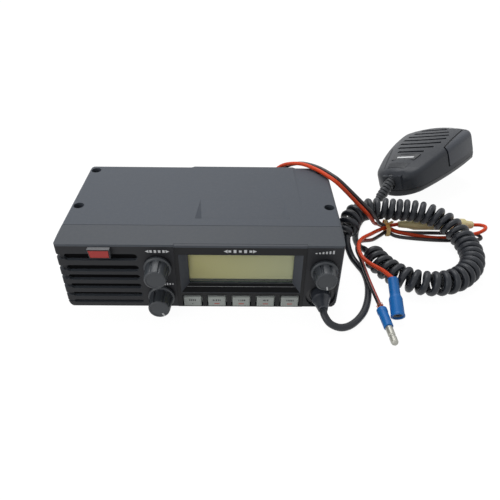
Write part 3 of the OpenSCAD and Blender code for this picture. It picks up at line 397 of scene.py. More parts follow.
# %% [markdown]
# The display is a reflective liquid crystal: green-yellow, a little greener and lighter to the
# right, where it catches more light. Its colour is a ramp that runs along the object's own X.
# %% Display finish
DISPLAY_LEFT = -8
DISPLAY_RIGHT = 58
LCD_TONES = ((228, 218, 130), (224, 226, 172))


def lcd_material():
    material, tree, principled = new_material("lcd")
    principled.inputs["Roughness"].default_value = 0.35
    where = node(tree, "TexCoord").outputs["Object"]
    across = ranged(tree, coordinate(tree, where, "X"), DISPLAY_LEFT * mm, DISPLAY_RIGHT * mm)
    ramp = node(tree, "ValToRGB", Fac=across)
    for element, tone in zip(ramp.color_ramp.elements, LCD_TONES):
        element.color = srgb(*tone)
    feed(tree, principled.inputs["Base Color"], ramp.outputs["Color"])
    return material


LCD = lcd_material()
print("display finish:", LCD.name)

# %% [markdown]
# A solid from CAD has knife edges, and nothing moulded or painted has. The simplest cure is a
# copy whose loose triangles are merged into whole faces, and whose sharp edges then get a small
# bevel. The copy stands for the node, and rides on the same body. Weighted normals then keep the
# flat faces flat, so that only the bevels catch the light.
# %% Rounded copies of CAD nodes
CRISP_ANGLE = 3
body_of_node = {n: body for body, members in frame["record"]["behaviour"]["bodies"].items() for n in members}


def show(bm, name, material, body, stands_for=(), sharp=40):
    """Makes a shown piece of a bmesh: smooth, with creases where its faces meet steeply."""
    mesh = bpy.data.meshes.new(name)
    for face in bm.faces:
        face.smooth = True
    for edge in bm.edges:
        if edge.is_manifold and edge.calc_face_angle() > math.radians(sharp):
            edge.smooth = False
    bm.to_mesh(mesh)
    bm.free()
    mesh.materials.append(material)
    piece = add(name, mesh)
    if body:
        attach(piece, body)
    even = piece.modifiers.new("even_shading", "WEIGHTED_NORMAL")
    even.keep_sharp = True
    if stands_for:
        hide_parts(*stands_for)
    return piece


def merged_copy(name):
    bm = bmesh.new()
    bm.from_mesh(nodes[name].data)
    bmesh.ops.remove_doubles(bm, verts=bm.verts, dist=0.002 * mm)
    bmesh.ops.dissolve_limit(bm, angle_limit=math.radians(0.6), verts=bm.verts, edges=bm.edges)
    return bm


def sharp_edges(bm, angle):
    return [e for e in bm.edges if e.is_manifold and e.calc_face_angle() > math.radians(angle)]


def eased(name, material, width, angle=32, segments=2, sharp=32, crisp=None):
    """A copy of a CAD node with its sharp edges bevelled, in place of the node.

    Inside the crisp box, shallow bends get an edge of their own too.
    """
    bm = merged_copy(name)
    bmesh.ops.bevel(bm, geom=sharp_edges(bm, angle), offset=width * mm, offset_type="OFFSET",
                    segments=segments, profile=0.5, affect="EDGES", clamp_overlap=True, material=-1)
    bmesh.ops.remove_doubles(bm, verts=bm.verts, dist=0.001 * mm)
    if crisp:
        low, high = (Vector(corner) * mm for corner in crisp)
        for edge in sharp_edges(bm, CRISP_ANGLE):
            if all(low[i] < v.co[i] < high[i] for v in edge.verts for i in range(3)):
                edge.smooth = False
    made = show(bm, name + "_moulded", material, body_of_node[name], [name], sharp)
    print(name, "->", made.name, len(made.data.polygons), "faces")


def finish_node(name, material):
    """Gives a CAD node that stays as it is its material."""
    for slot in nodes[name].material_slots:
        slot.link = "OBJECT"
        slot.material = material


print("bodies:", sorted(set(body_of_node.values())))

# %% [markdown]
# Cords come early, because their routes decide what the camera sees. A route here is the same list of points
# as in the CAD source, in millimetres, and a curve is swept along a smooth line through them.
# %% Cord routes
LEAD_ROUTE = [
    (77, -63.5, 10), (77.5, -67.5, 9), (81, -71.5, 6), (88, -72, 3.2), (96, -68, 2.5),
    (104.5, -58, 2.5), (110, -45, 2.5), (113, -30, 2.5), (112.8, -17, 2.5), (110, -8, 2.5),
    (107.2, -1, 3.4), (105, 4.5, 6.7), (104, 9, 10)]
TAIL_ROUTE = [
    (116.5, 4.5, 7.5), (114.5, 12, 4.5), (114, 25, 2.5), (118, 40, 2.5), (125, 54, 2.5),
    (132.5, 64.5, 2.5), (138.9, 72.7, 4), (142.5, 76.3, 7.5)]
COIL_ROUTE = [
    (104, 9, 10), (104.5, 14, 14), (107, 24, 17.5), (112.5, 33.5, 19), (121, 40, 19.5),
    (133, 42.5, 19.5), (146, 41, 19.5), (159, 39.5, 19.5), (171, 36.5, 18.5), (181.5, 30.5, 16),
    (189.5, 21.5, 12.5), (193.5, 9.5, 10), (193.5, -3.5, 9), (189, -15.5, 9), (181, -25.5, 9),
    (170, -33, 9), (157.5, -36, 9), (145, -34.3, 9), (134.2, -28, 9), (126, -18, 9),
    (120.7, -6.5, 9), (116.5, 4.5, 7.5)]
RED_ROUTE = [
    (46, 51.5, 30), (46, 56, 32), (49, 60, 40), (57, 59.5, 48), (69, 54.5, 52), (80, 46, 52.2),
    (89, 34, 52), (97, 28, 48), (113, 28.5, 31.5), (120.5, 26.8, 24.5), (126, 30.5, 16.5),
    (130, 35.9, 10), (134.5, 41.4, 5.5), (141, 43.25, 2.35), (151, 42, 5)]
BLACK_ROUTE = [
    (49.6, 51.5, 30), (49.6, 56, 32), (52.6, 59.5, 39), (59.4, 61.2, 46), (70.6, 57.2, 50.9),
    (82.3, 48.5, 52.2), (91.8, 36.3, 52), (98.8, 30.9, 48.6), (115, 30.9, 32.9),
    (122.8, 28.3, 26.3), (129, 31, 18.2), (133, 34.8, 11.6), (136.6, 38.4, 7.4), (141, 40.4, 4.7),
    (152, 36, 1.6), (180, 35, 1.5), (208, 34.5, 1.5), (214.5, 31, 1.5), (210, 26, 1.5),
    (180, 25, 1.5), (150, 29.2, 1.5), (141, 34.5, 2.5), (134, 28.6, 3.2), (124.5, 16.5, 7.6),
    (113.5, 8, 12), (108.7, -3.5, 13.6), (109.7, -14.3, 12.5), (112.3, -33, 8.5),
    (116.5, -56.4, 4.2)]
FUSED_ROUTE = [
    (212, 42, 5), (218, 41, 5.4), (220, 37, 6.4), (216.5, 32, 6.4), (207, 30.3, 3.6),
    (180, 28.4, 1.5), (150, 33, 3.2), (141, 36.9, 5.05), (132.5, 29.8, 7.4), (124.5, 20, 11),
    (113.5, 6.2, 15.6), (108.7, -6, 17.8), (108.7, -17.3, 18), (113.3, -24.8, 17.2),
    (121, -31.3, 16.2), (126.5, -37.3, 14.4)]
STEPS = 6


def as_route(points):
    return [Vector(p) * mm for p in points]


def along(route, u):
    """The smooth line through a route's points; u counts the points."""
    last = len(route) - 1
    i = min(int(u), last - 1)
    t = u - i
    q, r = route[i], route[i + 1]
    p = route[i - 1] if i > 0 else 2 * route[0] - route[1]
    s = route[i + 2] if i < last - 1 else 2 * route[last] - route[last - 1]
    return 0.5 * (2 * q + (r - p) * t + (2 * p - 5 * q + 4 * r - s) * t ** 2
                  + (3 * q - p - 3 * r + s) * t ** 3)


def sampled(points):
    route = as_route(points)
    return [along(route, k / STEPS) for k in range((len(route) - 1) * STEPS + 1)]


def line_length(line):
    return sum((b - a).length for a, b in zip(line, line[1:]))


def cord_piece(name, line, diameter, material, stands_for):
    """A round cord along a list of points, as a curve of one open spline."""
    data = bpy.data.curves.new(name, "CURVE")
    data.dimensions = "3D"
    data.bevel_depth = diameter / 2
    data.bevel_resolution = 3
    data.use_fill_caps = True
    spline = data.splines.new("POLY")
    spline.points.add(len(line) - 1)
    for point, place in zip(spline.points, line):
        point.co = (*place, 1)
    spline.use_smooth = True
    data.materials.append(material)
    piece = add(name, data)
    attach(piece, "radio")
    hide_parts(*stands_for)
    return piece


print("points on the curly cord's route:", len(COIL_ROUTE))

# %% [markdown]
# The curly cord is a helix round a smooth middle line. The curls keep the same distance on the
# inside of a bend and fan out on its outside, so the number of curls per millimetre follows the
# bend's curvature, as in the CAD model. The first and last curl grow from the straight cord.
# %% The curly microphone cord
MIC_CORD = 4.8 * mm
CURL_RADIUS = 6.35 * mm
INNER_PITCH = 5.35 * mm
SUBSTEPS = 8
POINTS_PER_CURL = 24
FIRST_CURL_AT = 0.7
LAST_CURL_BEFORE_END = 0.5
CURLS_TO_GROW = 0.9
BEND_SPAN = 0.3
AHEAD_SPAN = 0.02


def curvature(route, u):
    a, b, c = (along(route, max(0, u + d)) for d in (-BEND_SPAN, 0, BEND_SPAN))
    sides = (b - a).length * (c - b).length * (c - a).length
    return 2 * (b - a).cross(c - a).length / sides


def curl_table(route, start, stop):
    """Pairs of curls wound so far and the place on the route."""
    table = []
    wound = 0
    u = start
    while u < stop:
        table.append((wound, u))
        step = (along(route, u + 1 / SUBSTEPS) - along(route, u)).length
        bend = 1 - CURL_RADIUS * curvature(route, u + 0.5 / SUBSTEPS)
        wound += step * bend / INNER_PITCH
        u += 1 / SUBSTEPS
    return table


def look_up(table, t):
    for (w0, u0), (w1, u1) in zip(table, table[1:]):
        if t <= w1:
            return u0 + (u1 - u0) * (t - w0) / (w1 - w0)
    return table[-1][1]


def curly_line(route):
    """The line of the cord's middle, wound round the route."""
    table = curl_table(route, FIRST_CURL_AT, len(route) - 1 - LAST_CURL_BEFORE_END)
    turns = table[-1][0]
    line = [route[0].copy()]
    for k in range(1, int(turns * POINTS_PER_CURL)):
        t = k / POINTS_PER_CURL
        u = look_up(table, t)
        middle = along(route, u)
        ahead = (along(route, u + AHEAD_SPAN) - along(route, u - AHEAD_SPAN)).normalized()
        side = ahead.cross(Vector((0, 0, 1))).normalized()
        up = side.cross(ahead)
        ends = min(1, min(t, turns - t) / CURLS_TO_GROW)
        grow = ends * ends * (3 - 2 * ends)
        angle = 2 * math.pi * t
        line.append(middle + CURL_RADIUS * grow * (math.sin(angle) * side - math.cos(angle) * up))
    line.append(route[-1].copy())
    print("curls:", round(turns, 1), "cord in them, mm:", round(line_length(line) / mm))
    return line


mic_line = sampled(LEAD_ROUTE)[:-1] + curly_line(as_route(COIL_ROUTE)) + sampled(TAIL_ROUTE)[1:]
mic_cord = cord_piece("microphone_cord", mic_line, MIC_CORD, CORD,
                      ["mic_lead", "mic_coil", "mic_tail"])

# %% [markdown]
# The power lead is a red and a black wire. The red one goes to the fuse holder and comes back
# out of its cap. Both are folded back and held by a twist tie, and end in blue crimp terminals.
# %% Power wires
WIRE = 2.9 * mm
red_line = sampled(RED_ROUTE)
black_line = sampled(BLACK_ROUTE)
fused_line = sampled(FUSED_ROUTE)
red_wire = cord_piece("red_wire", red_line, WIRE, RED_WIRE, ["power_lead_red"])
black_wire = cord_piece("black_wire", black_line, WIRE, BLACK_WIRE, ["power_lead_black"])
fused_wire = cord_piece("fused_wire", fused_line, WIRE, RED_WIRE, ["fused_lead_red"])
for wire, line in ((red_wire, red_line), (black_wire, black_line), (fused_wire, fused_line)):
    print(wire.name, "mm:", round(line_length(line) / mm))

# %% [markdown]
# The case is a folded steel cover over a steel tray, with a moulded bezel in front. The shapes
# are the CAD ones; here their edges are eased, less on the metal than on the plastic, because a
# bend in sheet metal and the edge of a mould catch the light in a thin line. The raised middle
# of the cover and the recess in it have shallow bends, which are kept crisp.
# %% Case shells
RECESS_BOX = ((-16, -27, 48), (68, 49, 53))
eased("top_cover", COVER, 0.35, crisp=RECESS_BOX)
eased("bottom_case", TRAY, 0.3)
eased("front_bezel", BEZEL, 0.4)
eased("display_panel", PANEL, 0.3)

# %% [markdown]
# At the rear a black heat sink carries the aerial socket, the loudspeaker jack and the grommet.
# The aerial socket's barrel is threaded: rings of a zigzag line, spun round its axis.
# %% Rear of the case
BACK_Y = 50.5
AERIAL_AT = Vector((-52, 0, 25)) * mm
AERIAL_R = 7.9
THREAD_FROM = BACK_Y + 2.6
THREAD_TO = BACK_Y + 15.2
THREAD_PITCH = 1.05
THREAD_LOW = 0.02
THREAD_HIGH = 0.3
THREAD_SUNK = 0.2
INSULATOR_R = 5.9
INSULATOR_FROM = BACK_Y + 3.1
INSULATOR_FLOOR = BACK_Y + 3.4
INSULATOR_TO = BACK_Y + 12.5
CONTACT_R = 2.4
AXIS_GAP = 0.1


def spun(name, material, carrier, profile, centre, axis, steps=48):
    """A closed profile of (radius, place along the axis) points, spun round the axis."""
    bm = bmesh.new()
    across = axis.orthogonal().normalized()
    verts = [bm.verts.new(centre + (across * r + axis * a) * mm) for r, a in profile]
    edges = [bm.edges.new((v, verts[(k + 1) % len(verts)])) for k, v in enumerate(verts)]
    bmesh.ops.spin(bm, geom=verts + edges, cent=centre, axis=axis, angle=2 * math.pi, steps=steps,
                   use_merge=True)
    bmesh.ops.remove_doubles(bm, verts=bm.verts, dist=0.0005 * mm)
    bmesh.ops.recalc_face_normals(bm, faces=bm.faces)
    show(bm, name, material, body_of_node[carrier], sharp=35)


eased("heat_sink", SINK, 0.2)
eased("antenna_socket", PLATED, 0.2)
eased("speaker_jack", SOCKET, 0.2)
eased("power_grommet", RUBBER, 0.3)
ridges = [(AERIAL_R - THREAD_SUNK, THREAD_TO), (AERIAL_R - THREAD_SUNK, THREAD_FROM)]
turns = int((THREAD_TO - THREAD_FROM) / THREAD_PITCH)
for k in range(turns):
    y = THREAD_FROM + k * THREAD_PITCH
    ridges += [(AERIAL_R + THREAD_LOW, y), (AERIAL_R + THREAD_HIGH, y + THREAD_PITCH / 2)]
ridges.append((AERIAL_R + THREAD_LOW, THREAD_TO))
spun("aerial_thread", PLATED, "antenna_socket", ridges, AERIAL_AT, Vector((0, 1, 0)))
insulator = [
    (AXIS_GAP, INSULATOR_FROM), (INSULATOR_R, INSULATOR_FROM), (INSULATOR_R, INSULATOR_TO),
    (CONTACT_R, INSULATOR_TO), (CONTACT_R, INSULATOR_FLOOR), (AXIS_GAP, INSULATOR_FLOOR)]
spun("aerial_insulator", BORE, "antenna_socket", insulator, AERIAL_AT, Vector((0, 1, 0)))
print("thread turns:", turns)

# %% [markdown]
# Printed marks, glyphs and inlays are thin solids: a flat outline, drawn between two depths. The
# outlines are plain signs: bars, dots and triangles.
# %% Flat outlines
FRONT_Y = -50.5
PANEL_Y = -51.0
KEY_Y = -52.5


def grow(bm, faces, step):
    """Draws faces out into a solid."""
    grown = bmesh.ops.extrude_face_region(bm, geom=faces)["geom"]
    moved = [v for v in grown if isinstance(v, bmesh.types.BMVert)]
    bmesh.ops.translate(bm, verts=moved, vec=step)


def prism(bm, outline, near, far, place):
    """A flat outline as a solid; place turns (across, up, depth) into a point."""
    face = bm.faces.new([bm.verts.new(place(a, b, near)) for a, b in outline])
    grow(bm, [face], place(0, 0, far) - place(0, 0, near))


def bar(x, z, width, height):
    return [(x - width / 2, z - height / 2), (x + width / 2, z - height / 2),
            (x + width / 2, z + height / 2), (x - width / 2, z + height / 2)]


def dot(x, z, radius, sides=12):
    angles = [2 * math.pi * k / sides for k in range(sides)]
    return [(x + radius * math.cos(a), z + radius * math.sin(a)) for a in angles]


def arrow(x, z, size, way):
    """A triangle that points to the right for way = 1, to the left for -1."""
    return [(x - way * size / 2, z - size / 2), (x + way * size / 2, z), (x - way * size / 2, z + size / 2)]


def on_front(depth_y):
    """Places outlines on a plane that faces the front, raised towards the viewer."""
    return lambda a, b, raised: Vector((a, depth_y - raised, b)) * mm


def prints(name, material, carrier, place, outlines, raised=0.04, sunk=-0.1):
    """One piece of all the outlines, raised and sunk in mm, that rides with the carrier's node."""
    bm = bmesh.new()
    for outline in outlines:
        prism(bm, outline, sunk, raised, place)
    bmesh.ops.recalc_face_normals(bm, faces=bm.faces)
    show(bm, name, material, body_of_node[carrier])
    print(name, "marks:", len(outlines))


print("planes that carry prints, y in mm:", FRONT_Y, PANEL_Y, KEY_Y)

# %% [markdown]
# Light marks stand where the front is printed: a pair of arrows round a row of bars above the
# upper left knob and over the display, a rising scale above the right knob, and a falling one
# for the lower knob.
# %% Marks on the front
MARK_Z = 45.7
CHANNEL_X = -26
SIGN_X = 24.5
SIGN_Z = 46.5
SQUELCH_X = -23.5
SQUELCH_Z = 19.8
VOLUME_X = 71
channel_marks = [arrow(CHANNEL_X + way * 6.3, MARK_Z, 2.2, way) for way in (-1, 1)]
channel_marks += [bar(CHANNEL_X + 2.6 * k, MARK_Z, 1.5, 1.9) for k in (-1.5, -0.5, 0.5, 1.5)]
volume_marks = []
for k in range(6):
    height = 0.8 + 0.34 * k
    volume_marks.append(bar(VOLUME_X + 2.1 * k, MARK_Z - 1.1 + height / 2, 1.1, height))
squelch_marks = [bar(SQUELCH_X + 1.7 * k, SQUELCH_Z, 0.9, 2 - 0.3 * k) for k in range(4)]
display_marks = [arrow(SIGN_X + way * 8.9, SIGN_Z, 2.4, way) for way in (-1, 1)]
display_marks += [bar(SIGN_X + 3.2 * k, SIGN_Z, 1.7, 1.6 if k % 2 == 0 else 2.3) for k in range(-2, 3)]
prints("front_marks", WHITE_INK, "front_bezel", on_front(FRONT_Y),
       channel_marks + volume_marks + squelch_marks)
prints("display_marks", WHITE_INK, "display_panel", on_front(PANEL_Y), display_marks)

# %% [markdown]
# The badge is a metal plate on a small block: enamel red inside a bright rim, and blank. The rim
# is the plate's outline with an inner ring cut from it by inset.
# %% Badge
BADGE_OUTLINE = [(-66, 42.8), (-54.6, 42.8), (-54.6, 48.2), (-67, 48.2)]
BADGE_Y = -53.6
RIM_PROUD = 0.2
RIM_WIDTH = 0.7
eased("badge_block", BADGE_GREY, 0.25)
eased("badge_plate", BADGE_RED, 0.12)
bm = bmesh.new()
rim = bm.faces.new([bm.verts.new(Vector((x, BADGE_Y - RIM_PROUD, z)) * mm) for x, z in BADGE_OUTLINE])
bmesh.ops.inset_region(bm, faces=[rim], thickness=RIM_WIDTH * mm, use_boundary=True, use_even_offset=True)
bmesh.ops.delete(bm, geom=[rim], context="FACES_ONLY")
grow(bm, bm.faces[:], Vector((0, 2 * RIM_PROUD, 0)) * mm)
bmesh.ops.recalc_face_normals(bm, faces=bm.faces)
badge_rim = show(bm, "badge_rim", BADGE_RIM, "radio")
print("badge rim:", len(badge_rim.data.polygons), "faces")

# %% [markdown]
# Behind the slots a black cloth keeps dust from the cone, so that the slots look empty and dark.
# %% Speaker cloth
cloth = [(-85.5, 3), (-37, 3), (-37, 46), (-85.5, 46)]
prints("speaker_cloth", CLOTH, "speaker_cone", on_front(FRONT_Y), [cloth], raised=-2.56, sunk=-2.66)

# %% [markdown]
# The push buttons are light keys with a plain dark glyph and, on all but the first, a red mark
# below it. Both are printed on the cap, so they ride with the key.
# %% Push buttons
KEY_X = [25.2 + (i - 3) * 15.8 for i in range(1, 6)]
GLYPH_Z = 7.9
RED_Z = 4.9
GLYPHS = [
    [(-1.8, "bar"), (-0.6, "bar"), (0.6, "bar"), (1.8, "bar")],
    [(-1.9, "right"), (-0.3, "bar"), (1.2, "bar"), (2.3, "thin")],
    [(-1.6, "thin"), (-0.6, "thin"), (0.6, "bar"), (2, "dot")],
    [(-1.2, "left"), (0.2, "thin"), (1.4, "bar")],
    [(-2.2, "thin"), (-1.1, "bar"), (0.1, "bar"), (1.3, "bar"), (2.4, "thin")]]


def glyph(kind, x, z):
    if kind == "dot":
        return dot(x, z, 0.65)
    if kind in ("left", "right"):
        return arrow(x, z, 1.5, 1 if kind == "right" else -1)
    return bar(x, z, 0.8 if kind == "bar" else 0.4, 1.3)


for number, x in enumerate(KEY_X, start=1):
    name = f"button_{number}"
    eased(name, KEY, 0.45, segments=3)
    marks = [glyph(kind, x + across, GLYPH_Z) for across, kind in GLYPHS[number - 1]]
    prints(name + "_glyph", DARK_INK, name, on_front(KEY_Y), marks)
    if number == 1:
        prints(name + "_dot", DARK_INK, name, on_front(KEY_Y), [dot(x, RED_Z, 0.35)])
    else:
        prints(name + "_red", RED_INK, name, on_front(KEY_Y), [bar(x, RED_Z, 3.4, 0.6)])

# %% [markdown]
# Under its window the display is a yellow-green glass with a black border. The lower slope of the recess is
# covered with a black sheet as painted shade, and a thin grey line runs along it where the window is seated.
# %% Display
LCD_Y = -44.35
BORDER_Z = (17.7, 19.4)
BORDER_PAST = 0.8
SLOPE_LOW = (-51, 13)
SLOPE_HIGH = (-46.6, 17.6)
finish_node("display_window", WINDOW)
finish_node("lcd_panel", LCD)
left, right = DISPLAY_LEFT - BORDER_PAST, DISPLAY_RIGHT + BORDER_PAST
border = [(left, BORDER_Z[0]), (right, BORDER_Z[0]), (right, BORDER_Z[1]), (left, BORDER_Z[1])]
prints("display_border", BLACK_MASK_AND_SHADE, "lcd_panel", on_front(LCD_Y), [border], raised=0.05, sunk=-0.02)


def on_slope(a, b, raised):
    """Places (across, share of the way up, height) on the recess's lower slope."""
    y = SLOPE_LOW[0] + (SLOPE_HIGH[0] - SLOPE_LOW[0]) * b
    z = SLOPE_LOW[1] + (SLOPE_HIGH[1] - SLOPE_LOW[1]) * b
    return Vector((a, y - 0.72 * raised, z + 0.69 * raised)) * mm


shade = [(-13.1, 0.04), (62.9, 0.04), (58.5, 0.97), (-8.4, 0.97)]
line = [(-10, 0.62), (60, 0.62), (59.8, 0.66), (-9.8, 0.66)]
# A black sheet over the slope: painted shade.
prints("display_shade", BLACK_MASK_AND_SHADE, "display_panel", on_slope, [shade], raised=0.03, sunk=-0.05)
prints("display_line", GREY_INK, "display_panel", on_slope, [line], raised=0.06, sunk=-0.05)

# %% [markdown]
# The knobs are moulded, with a rimmed face and eight narrow grooves for the fingers. The volume
# and squelch knobs have a white line on the rim, which shows how far they are turned.
# %% Knobs
KNOB_FACES = {"squelch_knob": ((-26.2, 10.4), 14, -58), "volume_knob": ((77, 31.8), 12, -80)}
LINE_FROM = 3.6
LINE_TO = 6.1
LINE_WIDTH = 0.9
for name in ("channel_knob", "squelch_knob", "volume_knob"):
    eased(name, KNOB, 0.3, segments=3)
for name, ((x, z), height, angle) in KNOB_FACES.items():
    way = Vector((math.cos(math.radians(angle)), math.sin(math.radians(angle))))
    side = Vector((-way.y, way.x)) * LINE_WIDTH / 2
    ends = (way * LINE_FROM, way * LINE_TO)
    outline = [(x + q.x, z + q.y) for q in (ends[0] - side, ends[1] - side, ends[1] + side, ends[0] + side)]
    prints(name + "_line", WHITE_INK, name, on_front(FRONT_Y), [outline],
           raised=height + 0.04, sunk=height - 0.6)

# %% [markdown]
# The microphone plug is a rubber moulding in a round dark socket, with a ring nut behind it.
# %% Microphone plug and socket
eased("mic_socket", SOCKET, 0.3)
eased("mic_plug", PLUG, 0.35, segments=3)

# %% [markdown]
# The handset's two shells, its talk bar and its ribbed strain relief come from the CAD form,
# which is built up from cross-sections. Merging its triangles and easing only its steep edges
# keeps the crown of the face smooth.
# %% Handset
eased("mic_front_shell", HANDSET, 0.12, angle=42, sharp=38)
eased("mic_rear_shell", HANDSET_BACK, 0.3, angle=42, sharp=38)
eased("ptt_bar", TALK_BAR_LIT, 0.12, angle=42, sharp=38)
eased("mic_strain_relief", RELIEF, 0.25)
eased("mic_trim_plate", TRIM, 0.25)
eased("hang_up_stud", STEEL, 0.25)

# %% [markdown]
# Small things on the handset's face have to follow its crown. The height of the face is worked
# out with the same formula as in the CAD source: an edge that rises towards the wide end, a
# rounded corner, and a shallow crown between the corners.
# %% The handset's face
MIC_AT = Vector((158.5, 82.3, 7.5))
MIC_TURN = Euler([math.radians(a) for a in (2.9, -20.9, -43.3)]).to_matrix()
MIC_LONG = 92
WIDEST_Y = 86
END_EDGE = 19
RISE = 8.4
END_HALF = 17.6
WIDENING = 15.7
END_CORNER = 13
TOP_CORNER = 10
EDGE_R = 5
BROW_ANGLE = math.radians(75)
CROWN = 3.5


def corner_cut(d, r):
    return 0 if d >= r else r - math.sqrt(r * r - (r - max(d, 0)) ** 2)


def growth(y):
    """From 0 at the cable end to 1 where the handset is widest."""
    return 1 - (1 - y / WIDEST_Y) ** 2


def edge_height(y):
    return END_EDGE + RISE * growth(y) - corner_cut(y, EDGE_R) - corner_cut(MIC_LONG - y, EDGE_R)


def face_height(x, y):
    half = END_HALF + WIDENING * growth(y) - corner_cut(y, END_CORNER) - corner_cut(MIC_LONG - y, TOP_CORNER)
    brow = half - EDGE_R + EDGE_R * math.cos(BROW_ANGLE)
    top = edge_height(y) - EDGE_R + EDGE_R * math.sin(BROW_ANGLE)
    if abs(x) <= brow:
        return top + CROWN * (1 - (x / brow) ** 2)
    return edge_height(y) - EDGE_R + math.sqrt(EDGE_R ** 2 - (abs(x) - half + EDGE_R) ** 2)


def from_mic(x, y, z):
    return (MIC_AT + MIC_TURN @ Vector((x, y, z))) * mm


def on_face(x, y, lift=0.0):
    return from_mic(x, y, face_height(x, y) + lift)


print("face height at the middle, mm:", round(face_height(0, MIC_LONG / 2), 1))

# %% [markdown]
# A dark strip down the left half of the face stands for a fine groove; its dark colour is painted shade. A
# short bright strip at the top of the face is a painted glint. A soft seal closes the gap that the talk bar
# slides in. Each is a narrow strip: a grid that is bent along a line on the face, with a back in the same
# place. The two layers shade each other, so a strip with no thickness renders darker than its finish, as a
# gap does. The seal's one side stays with the shell and the other moves with the bar, so that it is squeezed
# when the bar is pressed.
# %% Painted groove shade, painted glint and seal
GROOVE_ROUTE = [(-23.8, 46), (-20.5, 36), (-16.5, 24), (-13, 13), (-11, 8)]
GLINT_ROUTE = [(11.6, 83.6), (17.3, 85.2), (23, 86.4)]
SEAL_X = 25.8
SEAL_ROUTE = [(SEAL_X, 83.4), (SEAL_X, 71), (SEAL_X, 59), (SEAL_X, 47.6)]


def face_sheet(name, cells, where, material, body="radio", thick=None, sharp=40):
    """A sheet on the face; where turns a grid point's column and row into (x, y, height).

    Given a thickness in mm, which may be 0, the sheet gets a back as well.
    """
    bm = bmesh.new()
    bmesh.ops.create_grid(bm, x_segments=cells[0], y_segments=cells[1], size=0.5)
    for vert in bm.verts:
        column = round((vert.co.x + 0.5) * cells[0])
        row = round((vert.co.y + 0.5) * cells[1])
        vert.co = on_face(*where(column, row))
    if thick is not None:
        bmesh.ops.solidify(bm, geom=bm.faces[:], thickness=thick * mm)
        bmesh.ops.recalc_face_normals(bm, faces=bm.faces)
    print(name, "cells:", cells)
    return show(bm, name, material, body, sharp=sharp)


def strip(name, route, material, width, lift, body="radio"):
    """A narrow sheet along a smooth line through (x, y) points."""
    points = [Vector((x, y, 0)) for x, y in route]
    line = [along(points, k / STEPS) for k in range((len(points) - 1) * STEPS + 1)]

    def where(k, side):
        ahead = line[min(k + 1, len(line) - 1)] - line[max(k - 1, 0)]
        left = Vector((-ahead.y, ahead.x, 0)).normalized() * width / 2
        place = line[k] + left * (side - 1)
        return place.x, place.y, lift
    return face_sheet(name, (len(line) - 1, 2), where, material, body, thick=0)


# A dark strip: painted shade for a fine groove.
strip("face_groove", GROOVE_ROUTE, GROOVE_SHADE, width=0.5, lift=0.09)
seal = strip("talk_bar_seal", SEAL_ROUTE, RELIEF, width=1.36, lift=-0.4, body=None)
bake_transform(seal)
# A short bright strip: a painted glint near the top of the face.
strip("face_slot", GLINT_ROUTE, SILVER_AND_GLINT, width=1.1, lift=0.16)

# %% [markdown]
# A patch of small bumps near the cable gives the thumb a grip, and behind the slots a black
# cloth keeps dust from the capsule. Both are grids laid over the face; on the patch every
# second point is raised.
# %% Thumb patch and slot cloth
PATCH_HALF = (8, 9.5)
PATCH_Y = (7, 14.8)
PATCH_CELLS = (34, 16)
PATCH_LIFT = 0.04
BUMP = 0.22
CLOTH_CELLS = 12
CLOTH_SIZE = (44, 50)
CLOTH_THICK = 0.1
CLOTH_LIFT = -2.3
CLOTH_Y = 57


def on_patch(column, row):
    up = row / PATCH_CELLS[1]
    half = PATCH_HALF[0] + up * (PATCH_HALF[1] - PATCH_HALF[0])
    across = 2 * (column / PATCH_CELLS[0] - 0.5) * half
    y = PATCH_Y[0] + up * (PATCH_Y[1] - PATCH_Y[0])
    return across, y, PATCH_LIFT + BUMP * ((column + row) % 2)


def on_cloth(column, row):
    across, up = column / CLOTH_CELLS - 0.5, row / CLOTH_CELLS - 0.5
    return CLOTH_SIZE[0] * across, CLOTH_Y + CLOTH_SIZE[1] * up, CLOTH_LIFT


face_sheet("thumb_patch", PATCH_CELLS, on_patch, RELIEF, sharp=12)
face_sheet("slot_cloth", (CLOTH_CELLS, CLOTH_CELLS), on_cloth, CLOTH, thick=CLOTH_THICK)

# %% [markdown]
# The trim plate lies in a shallow pocket between the patch and the slots, and carries a bright
# bar. The bar is drawn flat and tilted by the slope that the face has there.
# %% Bar on the trim plate
TRIM_Y = 25
TRIM_SUNK = 0.5
trim_top = edge_height(TRIM_Y) + CROWN - TRIM_SUNK
trim_slope = math.atan2(edge_height(TRIM_Y + 5) - edge_height(TRIM_Y - 5), 10)


def on_trim(a, b, raised):
    return from_mic(a, TRIM_Y + b * math.cos(trim_slope) - raised * math.sin(trim_slope),
                    trim_top + b * math.sin(trim_slope) + raised * math.cos(trim_slope))


trim_outline = [(-6.4, -2.2), (8.8, -2.2), (9.2, -1.2), (8.8, 0), (-6.4, 0), (-6.8, -1.2)]
prints("trim_bar", SILVER_AND_GLINT, "mic_trim_plate", on_trim, [trim_outline], raised=0.35)

# %% [markdown]
# The fuse holder and its cap are beige mouldings. The blue terminals are vinyl sleeves over
# crimped metal, and inside the open one a split barrel grips the pin: a short tube, spun round
# the terminal's own axis.
# %% Fuse holder and terminals
eased("fuse_holder", BEIGE, 0.3, segments=3)
eased("fuse_cap", BEIGE, 0.3, segments=3)
eased("socket_terminal", BLUE, 0.4, segments=3)
eased("pin_sleeve", BLUE, 0.35, segments=3)
eased("pin_contact", PIN, 0.25, segments=3)
eased("wire_tie", TIE, 0.15)
SOCKET_A, SOCKET_B = Vector((126.5, -37.3, 14.4)), Vector((125.4, -63.8, 4.7))
BARREL_R = (2.75, 3.3)
BARREL_FROM = 0.57
BARREL_SUNK = 1.2
socket_way = (SOCKET_B - SOCKET_A).normalized()
socket_long = (SOCKET_B - SOCKET_A).length
inner, outer = socket_long * BARREL_FROM, socket_long - BARREL_SUNK
barrel = [(BARREL_R[1], inner), (BARREL_R[1], outer), (BARREL_R[0], outer), (BARREL_R[0], inner)]
